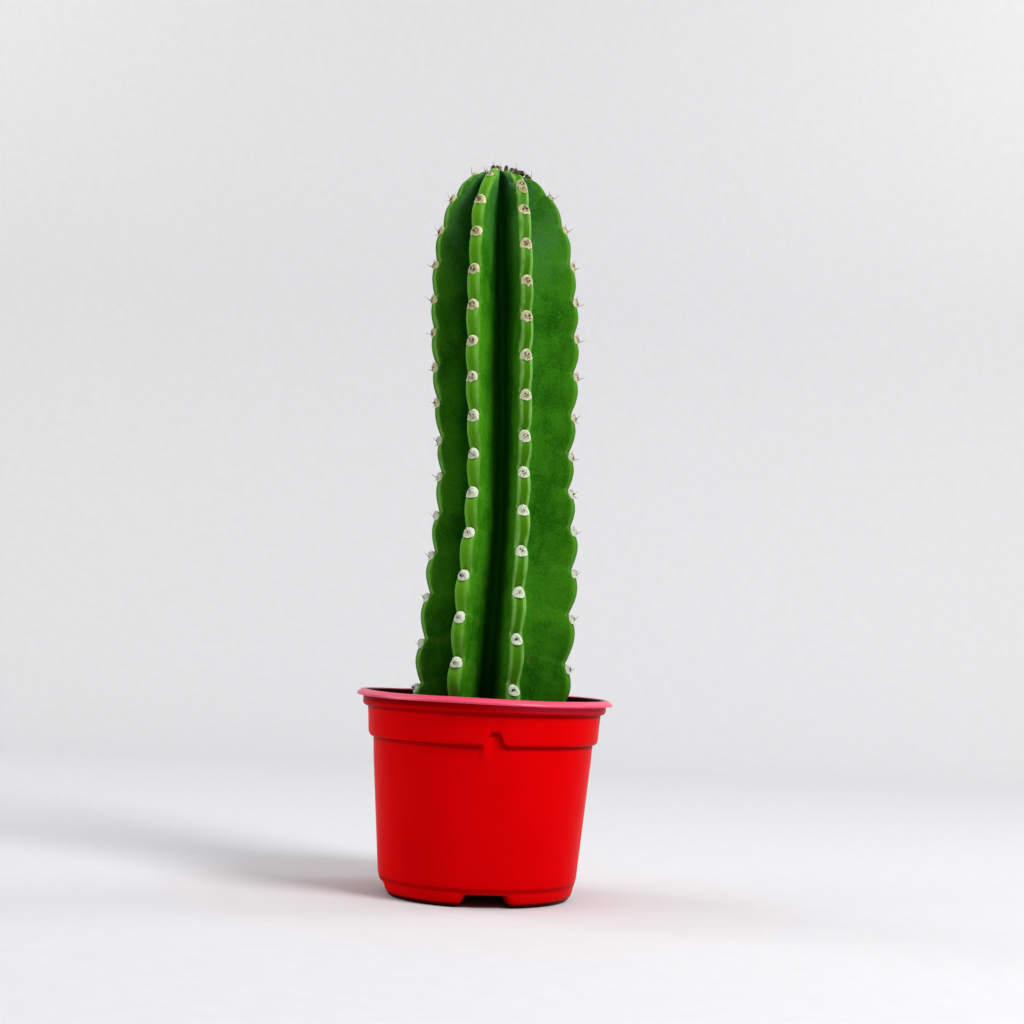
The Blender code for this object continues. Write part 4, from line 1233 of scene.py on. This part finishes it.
def skin_material(settings):
    paint = Paint("cactus_skin", 0.42, "form")
    ramp, maths, product, over = paint.ramp, paint.maths, paint.product, paint.over
    across, level, pale = paint.marks
    broad, middle = paint.noise(38.0, 4.0, 0.6), paint.noise(150.0, 4.0, 0.6)
    fine = paint.noise(1000.0, 3.0, 0.65)
    streaks = paint.noise(330.0, upright=0.2)
    across = maths("ADD", across, ramp(streaks, 0.3, 0.7, -0.09, 0.09))
    # mottled flanks with light and dark specks
    paint.colour = paint.mixed(ramp(broad, 0.36, 0.62), settings.deep_green, settings.flank_green)
    over(ramp(middle, 0.4, 0.66, 0.0, 0.5), settings.flank_green)
    over(ramp(fine, 0.46, 0.68, 0.0, 0.42), settings.speck_green)
    over(ramp(fine, 0.5, 0.34, 0.0, 0.4), settings.deep_green)
    # wax on the young growth
    young = ramp(level, 0.5, 5.5, 1.0, 0.0)
    wax = product(young, ramp(broad, 0.3, 0.55, 0.3, 1.0), ramp(across, 0.95, 1.15, 0.15, 0.9))
    over(wax, settings.bloom)
    # crest, with dark streaks along its middle and pale margins; the margins are partly the skin's own pale
    # edge and partly a painted sheen, and each rib's paleness is partly painted light
    crest = paint.mixed(ramp(pale, 0.6, 1.0), settings.crest_green, settings.pale_crest)
    over(ramp(across, 0.5, 1.2, 0.9, 0.0), crest)
    over(product(ramp(across, 0.3, 0.05), ramp(streaks, 0.48, 0.62, 0.0, 0.5)), settings.deep_green)
    margin = product(
        ramp(across, 0.3, 0.6), ramp(across, 0.78, 0.98, 1.0, 0.0), ramp(middle, 0.3, 0.6, 0.45, 0.9),
        ramp(pale, 0.0, 0.6, 0.1, 1.0), ramp(pale, 0.7, 1.0, 1.0, 0.65),
    )
    over(margin, settings.margin_green)
    # painted shade deep in the valleys, full in the narrow ones
    over(ramp(across, 1.18, 1.76, 0.0, 0.9), settings.painted_valley_shade)
    # dark seat round each areole, partly a brownish rim of the skin and partly a painted contact shadow above
    # the pad; the last interval is longer, so its levels are stretched
    beside = maths("SUBTRACT", level, maths("ROUND", level))
    last = product(maths("SUBTRACT", level, AREOLES_A_RIB - 1.0), 2.2)
    along = product(maths("ADD", maths("MAXIMUM", beside, last), 0.035), 4.9)
    around = paint.node("ShaderNodeCombineXYZ", {0: across, 1: along}).outputs[0]
    around = paint.node("ShaderNodeVectorMath", {0: around}, operation="LENGTH").outputs["Value"]
    over(ramp(around, 0.98, 0.8, 0.0, 0.5), (0.045, 0.050, 0.010))
    # cork beside the notches near the foot
    band = product(
        ramp(maths("ABSOLUTE", beside), 0.03, 0.16, 1.0, 0.0), ramp(across, 1.05, 1.2),
        ramp(across, 1.3, 1.65, 1.0, 0.0), ramp(level, 11.0, 14.0, 0.0, 0.2), ramp(middle, 0.35, 0.6),
    )
    over(band, settings.cork)
    rough = ramp(middle, 0.3, 0.7, 0.4, 0.52)
    return paint.finish(((middle, 0.1, 0.0008), (fine, 0.14, 0.0002)), Roughness=rough, IOR=1.14)


def felt_material(settings):
    paint = Paint("areole_felt", 0.95, "tint")
    ramp, product = paint.ramp, paint.product
    age, brown, core = paint.marks
    clumps, patches = paint.noise(1300.0, 3.0, 0.6), paint.noise(420.0, 2.0, 0.5)
    paint.colour = paint.mixed(ramp(age, 0.15, 0.75), settings.young_felt, settings.old_felt)
    paint.over(ramp(clumps, 0.4, 0.7, 0.0, 0.35), (0.30, 0.24, 0.14))
    paint.over(product(brown, ramp(patches, 0.3, 0.55, 0.5, 1.0)), settings.brown_felt)
    centre = product(core, ramp(clumps, 0.34, 0.58, 0.45, 0.95))
    paint.over(centre, paint.mixed(ramp(age, 0.35, 0.8), (0.11, 0.055, 0.022), (0.22, 0.20, 0.17)))
    return paint.finish(
        [(clumps, 0.5, 0.0003)], Specular_IOR_Level=0.15, Sheen_Weight=0.2, Sheen_Roughness=0.5
    )


def spine_material(settings):
    paint = Paint("spine_horn", 0.4, "tint")
    _, stub, reach = paint.marks
    grain = paint.noise(1500.0, 2.0, 0.5)
    paint.colour = paint.mixed(paint.ramp(reach, 0.2, 0.55), settings.spine_root, settings.spine_shaft)
    paint.over(paint.ramp(reach, 0.72, 1.0), (0.055, 0.035, 0.022))
    paint.over(paint.ramp(grain, 0.45, 0.7, 0.0, 0.4), (0.28, 0.24, 0.18))
    paint.over(stub, settings.spine_root)
    return paint.finish([(grain, 0.3, 0.0002)])


def plastic_material(name, settings, tone, share, ior):
    """Moulded plastic of the pot, with another tone mixed in, and its gloss as an index of refraction. For the
    wall and the lip the tone is a painted highlight, over the lip and on the right of the band under it; for
    the inside of the rim it is painted shade with clinging mix.
    """
    paint = Paint(name, settings.roughness, "fold")
    ramp, maths, product = paint.ramp, paint.maths, paint.product
    above, faded, rise = paint.marks
    broad, fine = paint.noise(14.0, 3.0, 0.5), paint.noise(700.0, 2.0, 0.5)
    scuff = paint.noise(420.0, 4.0, 0.65, upright=0.12)
    aside, _, height = paint.parts(paint.place)
    dark = tuple(value * 0.8 for value in settings.colour)
    paint.colour = paint.mixed(ramp(broad, 0.3, 0.7, 0.0, 0.5), settings.colour, dark)
    # darker towards the bottom, and fine brown specks in the lowest part
    paint.over(ramp(height, 0.0, 0.012, 0.25, 0.0), dark)
    paint.over(product(ramp(height, 0.001, 0.012, 0.12, 0.0), ramp(fine, 0.5, 0.7)), (0.12, 0.035, 0.02))
    below = maths("SUBTRACT", height, product(rise, MM))
    # painted shade in the creases of the plain wall: under the ledge, under the lip and more on its left side,
    # along the flange line and in the heel, and a painted contact shadow along the foot. Measure, where each
    # starts, is full, begins to end and ends, strength
    creases = (
        (above, -2.1, -1.2, 0.2, 1.0, ramp(faded, 0.0, 1.0, 0.34, 0.04)),
        (below, 0.0945, 0.0959, 0.0990, 0.1000, ramp(aside, -0.035, 0.02, 0.5, 0.05)),
        (height, 0.0914, 0.0926, 0.0940, 0.0950, 0.36),
        (height, 0.0068, 0.0078, 0.0088, 0.0100, 0.3),
        (height, -0.002, -0.001, 0.0014, 0.0028, 0.9),
    )
    for measure, start, full, still, end, strength in creases if share == 0.0 else ():
        crease_shade = product(ramp(measure, start, full), ramp(measure, still, end, 1.0, 0.0), strength)
        paint.over(crease_shade, (0.02, 0.0, 0.0))
    # painted highlight: pale pink over the lip and on the right of the band under it; inside the rim the same
    # mix lays the painted shade and clinging mix
    painted_highlight = product(ramp(below, 0.0940, 0.0955), ramp(aside, -0.01, 0.04, share, max(share, 0.25)))
    paint.over(maths("MAXIMUM", painted_highlight, ramp(scuff, 0.3, 0.7, share * 0.92, share)), tone)
    rough = maths("ADD", ramp(scuff, 0.45, 0.75, 0.0, 0.14), settings.roughness - 0.03)
    return paint.finish(((broad, 0.06, 0.004), (fine, 0.05, 0.0002)), Roughness=rough, IOR=ior)


def finish_plastic(piece, settings):
    """Plain wall, glossier lip with a painted pale pink highlight, and the inside of the rim, darkened by
    painted shade and by the mix that clings to it.
    """
    piece.data.materials.clear()
    for name, tone, share, ior in (
        ("pot_wall", settings.lip_highlight, 0.0, 1.08),
        ("pot_lip", settings.lip_highlight, 0.5, 1.56),
        ("pot_inside", settings.inside_mix_and_shade, 0.93, 1.15),
    ):
        piece.data.materials.append(plastic_material(name, settings, tone, share, ior))
    for face in piece.data.polygons:
        place, normal = face.center, face.normal
        inwards = place.x * normal.x + place.y * normal.y < -0.5 * place.xy.length
        if place.z > LIP_FOOT and (place.xy.length > LIP_RADIUS or normal.z > 0.5):
            face.material_index = 1
        elif place.z > SOIL_TOP - 4 * MM and inwards:
            face.material_index = 2
        else:
            face.material_index = 0


def soil_material(settings):
    paint = Paint("potting_mix", 0.95, "tint")
    shade, grit, _ = paint.marks
    coarse, fine = paint.noise(260.0, 4.0, 0.65), paint.noise(1100.0, 3.0, 0.6)
    paint.colour = paint.mixed(paint.ramp(coarse, 0.38, 0.66), settings.dark, settings.light)
    paint.over(paint.ramp(fine, 0.5, 0.75, 0.0, 0.6), (0.16, 0.11, 0.07))
    paint.over(paint.ramp(shade, 0.55, 1.0, 0.0, 0.45), settings.light)
    paint.over(paint.ramp(grit, 0.4, 0.6), (0.42, 0.37, 0.30))
    return paint.finish(((coarse, 0.6, 0.0012), (fine, 0.5, 0.0004)), Specular_IOR_Level=0.2)


def backdrop_material(settings):
    paint = Paint("backdrop_paint", 0.9)
    shade = tuple(value * 0.985 for value in settings.backdrop)
    paint.colour = paint.mixed(paint.ramp(paint.noise(90.0, 3.0, 0.5), 0.4, 0.6), settings.backdrop, shade)
    return paint.finish(Specular_IOR_Level=0.1)


# stage


def build_backdrop(settings):
    """One sheet: the floor, a wide curve and the upright part behind."""
    reach, bend, drop, steps = 0.9, 0.6, 0.05 * MM, 16
    line = [(-3.0, 0.0), (-1.2, 0.0), (0.5, 0.0)]
    for step in range(steps + 1):
        turn = math.pi / 2 * step / steps
        line.append((reach + bend * math.sin(turn), bend * (1 - math.cos(turn))))
    line.append((reach + bend, 3.2))
    points = [(x, y, z - drop) for y, z in line for x in (-3.2, 3.2)]
    faces = [[2 * i, 2 * i + 1, 2 * i + 3, 2 * i + 2] for i in range(len(line) - 1)]
    mesh = mesh_of("backdrop", points, faces)
    mesh.materials.append(backdrop_material(settings))
    piece = bpy.data.objects.new("backdrop", mesh)
    bpy.context.scene.collection.objects.link(piece)
    piece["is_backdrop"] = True


def light_stage():
    """Five area lights, a dim world and the way that the picture is developed."""
    for name, place, aim, size, energy, tone in LIGHTS:
        light = bpy.data.lights.new(name, "AREA")
        light.shape = "RECTANGLE"
        light.size, light.size_y = size
        light.energy = energy
        light.color = tone
        made = bpy.data.objects.new(name, light)
        made.location = place
        made.rotation_euler = (Vector(aim) - Vector(place)).to_track_quat("-Z", "Y").to_euler()
        bpy.context.scene.collection.objects.link(made)
    world = bpy.data.worlds.new("studio")
    world.use_nodes = True
    background = world.node_tree.nodes["Background"]
    background.inputs["Color"].default_value = WORLD_COLOUR
    background.inputs["Strength"].default_value = WORLD_STRENGTH
    bpy.context.scene.world = world
    view = bpy.context.scene.view_settings
    view.view_transform = "Standard"
    view.look = "Medium High Contrast"


def aim_camera(settings):
    """The photo's own view, with its slight roll."""
    pitch, roll, yaw = (math.radians(turn) for turn in CAMERA_TURN)
    right = Vector((math.cos(yaw), -math.sin(yaw), 0.0))
    forward = Vector((math.sin(yaw) * math.cos(pitch), math.cos(yaw) * math.cos(pitch), math.sin(pitch)))
    up = right.cross(forward)
    local_x = right * math.cos(roll) + up * math.sin(roll)
    local_y = up * math.cos(roll) - right * math.sin(roll)
    camera = bpy.data.cameras.new("camera")
    camera.lens = settings.camera_lens
    camera.sensor_width = 36.0
    camera.clip_start = 0.01
    made = bpy.data.objects.new("camera", camera)
    turn = Matrix((local_x, local_y, -forward)).transposed().to_4x4()
    turn.translation = Vector((0.0, -settings.camera_distance, settings.camera_height))
    made.matrix_world = turn
    bpy.context.scene.collection.objects.link(made)
    bpy.context.scene.camera = made


# operators


class CACTUS_OT_pot(bpy.types.Operator):
    """Build the thin nursery pot"""

    bl_idname = "cactus.pot"
    bl_label = "Nursery pot"

    def execute(self, context):
        settings = context.scene.cactus_pot
        piece = place_piece("pot_shell", build_pot(settings), "pot_red", "pot")
        finish_pot(piece)
        finish_plastic(piece, settings)
        return {"FINISHED"}


class CACTUS_OT_soil(bpy.types.Operator):
    """Build the bed of potting mix and its loose crumbs"""

    bl_idname = "cactus.soil"
    bl_label = "Potting mix"

    def execute(self, context):
        settings = context.scene.cactus_soil
        earth = soil_material(settings)
        bed, top = build_soil()
        crumbs = build_crumbs(settings, top)
        for mesh in (bed, crumbs):
            mesh.materials.append(earth)
        place_piece("soil_bed", bed, "potting_mix", "soil")
        place_piece("soil_crumbs", crumbs, "potting_mix")
        return {"FINISHED"}


class CACTUS_OT_stem_skin(bpy.types.Operator):
    """Build the ribbed, scalloped skin of the stem"""

    bl_idname = "cactus.stem_skin"
    bl_label = "Stem skin"

    def execute(self, context):
        settings = context.scene.cactus_stem
        mesh = stem_skin_mesh(settings)
        mesh.materials.append(skin_material(settings))
        place_piece("stem_skin", mesh, "stem_green", "cactus_stem")
        return {"FINISHED"}


def place_areole_pieces(material, *meshes):
    for mesh in meshes:
        mesh.materials.append(material)
        place_piece(mesh.name, mesh, "stem_green")


class CACTUS_OT_areole_felt(bpy.types.Operator):
    """Build the felt pads of the areoles and the wool of the growing tip"""

    bl_idname = "cactus.areole_felt"
    bl_label = "Areole felt"

    def execute(self, context):
        settings = context.scene.cactus_areoles
        place_areole_pieces(felt_material(settings), build_felt(settings), build_crown())
        return {"FINISHED"}


class CACTUS_OT_spines(bpy.types.Operator):
    """Build the spines of the areoles and of the growing tip"""

    bl_idname = "cactus.spines"
    bl_label = "Spines"

    def execute(self, context):
        settings = context.scene.cactus_areoles
        place_areole_pieces(spine_material(settings), build_spines(settings), build_crown_spines(settings))
        return {"FINISHED"}


class CACTUS_OT_stage(bpy.types.Operator):
    """Build the floor, backdrop, lights and camera"""

    bl_idname = "cactus.stage"
    bl_label = "Stage"

    def execute(self, context):
        settings = context.scene.cactus_stage
        build_backdrop(settings)
        light_stage()
        aim_camera(settings)
        return {"FINISHED"}


OPERATORS = (
    CACTUS_OT_pot,
    CACTUS_OT_soil,
    CACTUS_OT_stem_skin,
    CACTUS_OT_areole_felt,
    CACTUS_OT_spines,
    CACTUS_OT_stage,
)
SETTINGS = (
    (StemSettings, "cactus_stem"),
    (AreoleSettings, "cactus_areoles"),
    (PotSettings, "cactus_pot"),
    (SoilSettings, "cactus_soil"),
    (StageSettings, "cactus_stage"),
)


class CACTUS_PT_panel(bpy.types.Panel):
    """Buttons that build the potted cactus piece by piece"""

    bl_idname = "CACTUS_PT_panel"
    bl_label = "Potted cactus"
    bl_space_type = "VIEW_3D"
    bl_region_type = "UI"
    bl_category = "Cactus"

    def draw(self, context):
        column = self.layout.column(align=True)
        for operator in OPERATORS:
            column.operator(operator.bl_idname)


def register():
    for group, name in SETTINGS:
        bpy.utils.register_class(group)
        setattr(bpy.types.Scene, name, bpy.props.PointerProperty(type=group))
    for kind in (*OPERATORS, CACTUS_PT_panel):
        bpy.utils.register_class(kind)


def unregister():
    for kind in reversed((*OPERATORS, CACTUS_PT_panel)):
        bpy.utils.unregister_class(kind)
    for group, name in reversed(SETTINGS):
        delattr(bpy.types.Scene, name)
        bpy.utils.unregister_class(group)


def main():
    register()
    bpy.ops.cactus.pot()
    bpy.ops.cactus.soil()
    bpy.ops.cactus.stem_skin()
    bpy.ops.cactus.areole_felt()
    bpy.ops.cactus.spines()
    bpy.ops.cactus.stage()
    boxes = {"cad": CAD_BOX, "visual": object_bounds()}
    {name: [list(corner) for corner in box] for name, box in boxes.items()}


if __name__ == "__main__":
    main()
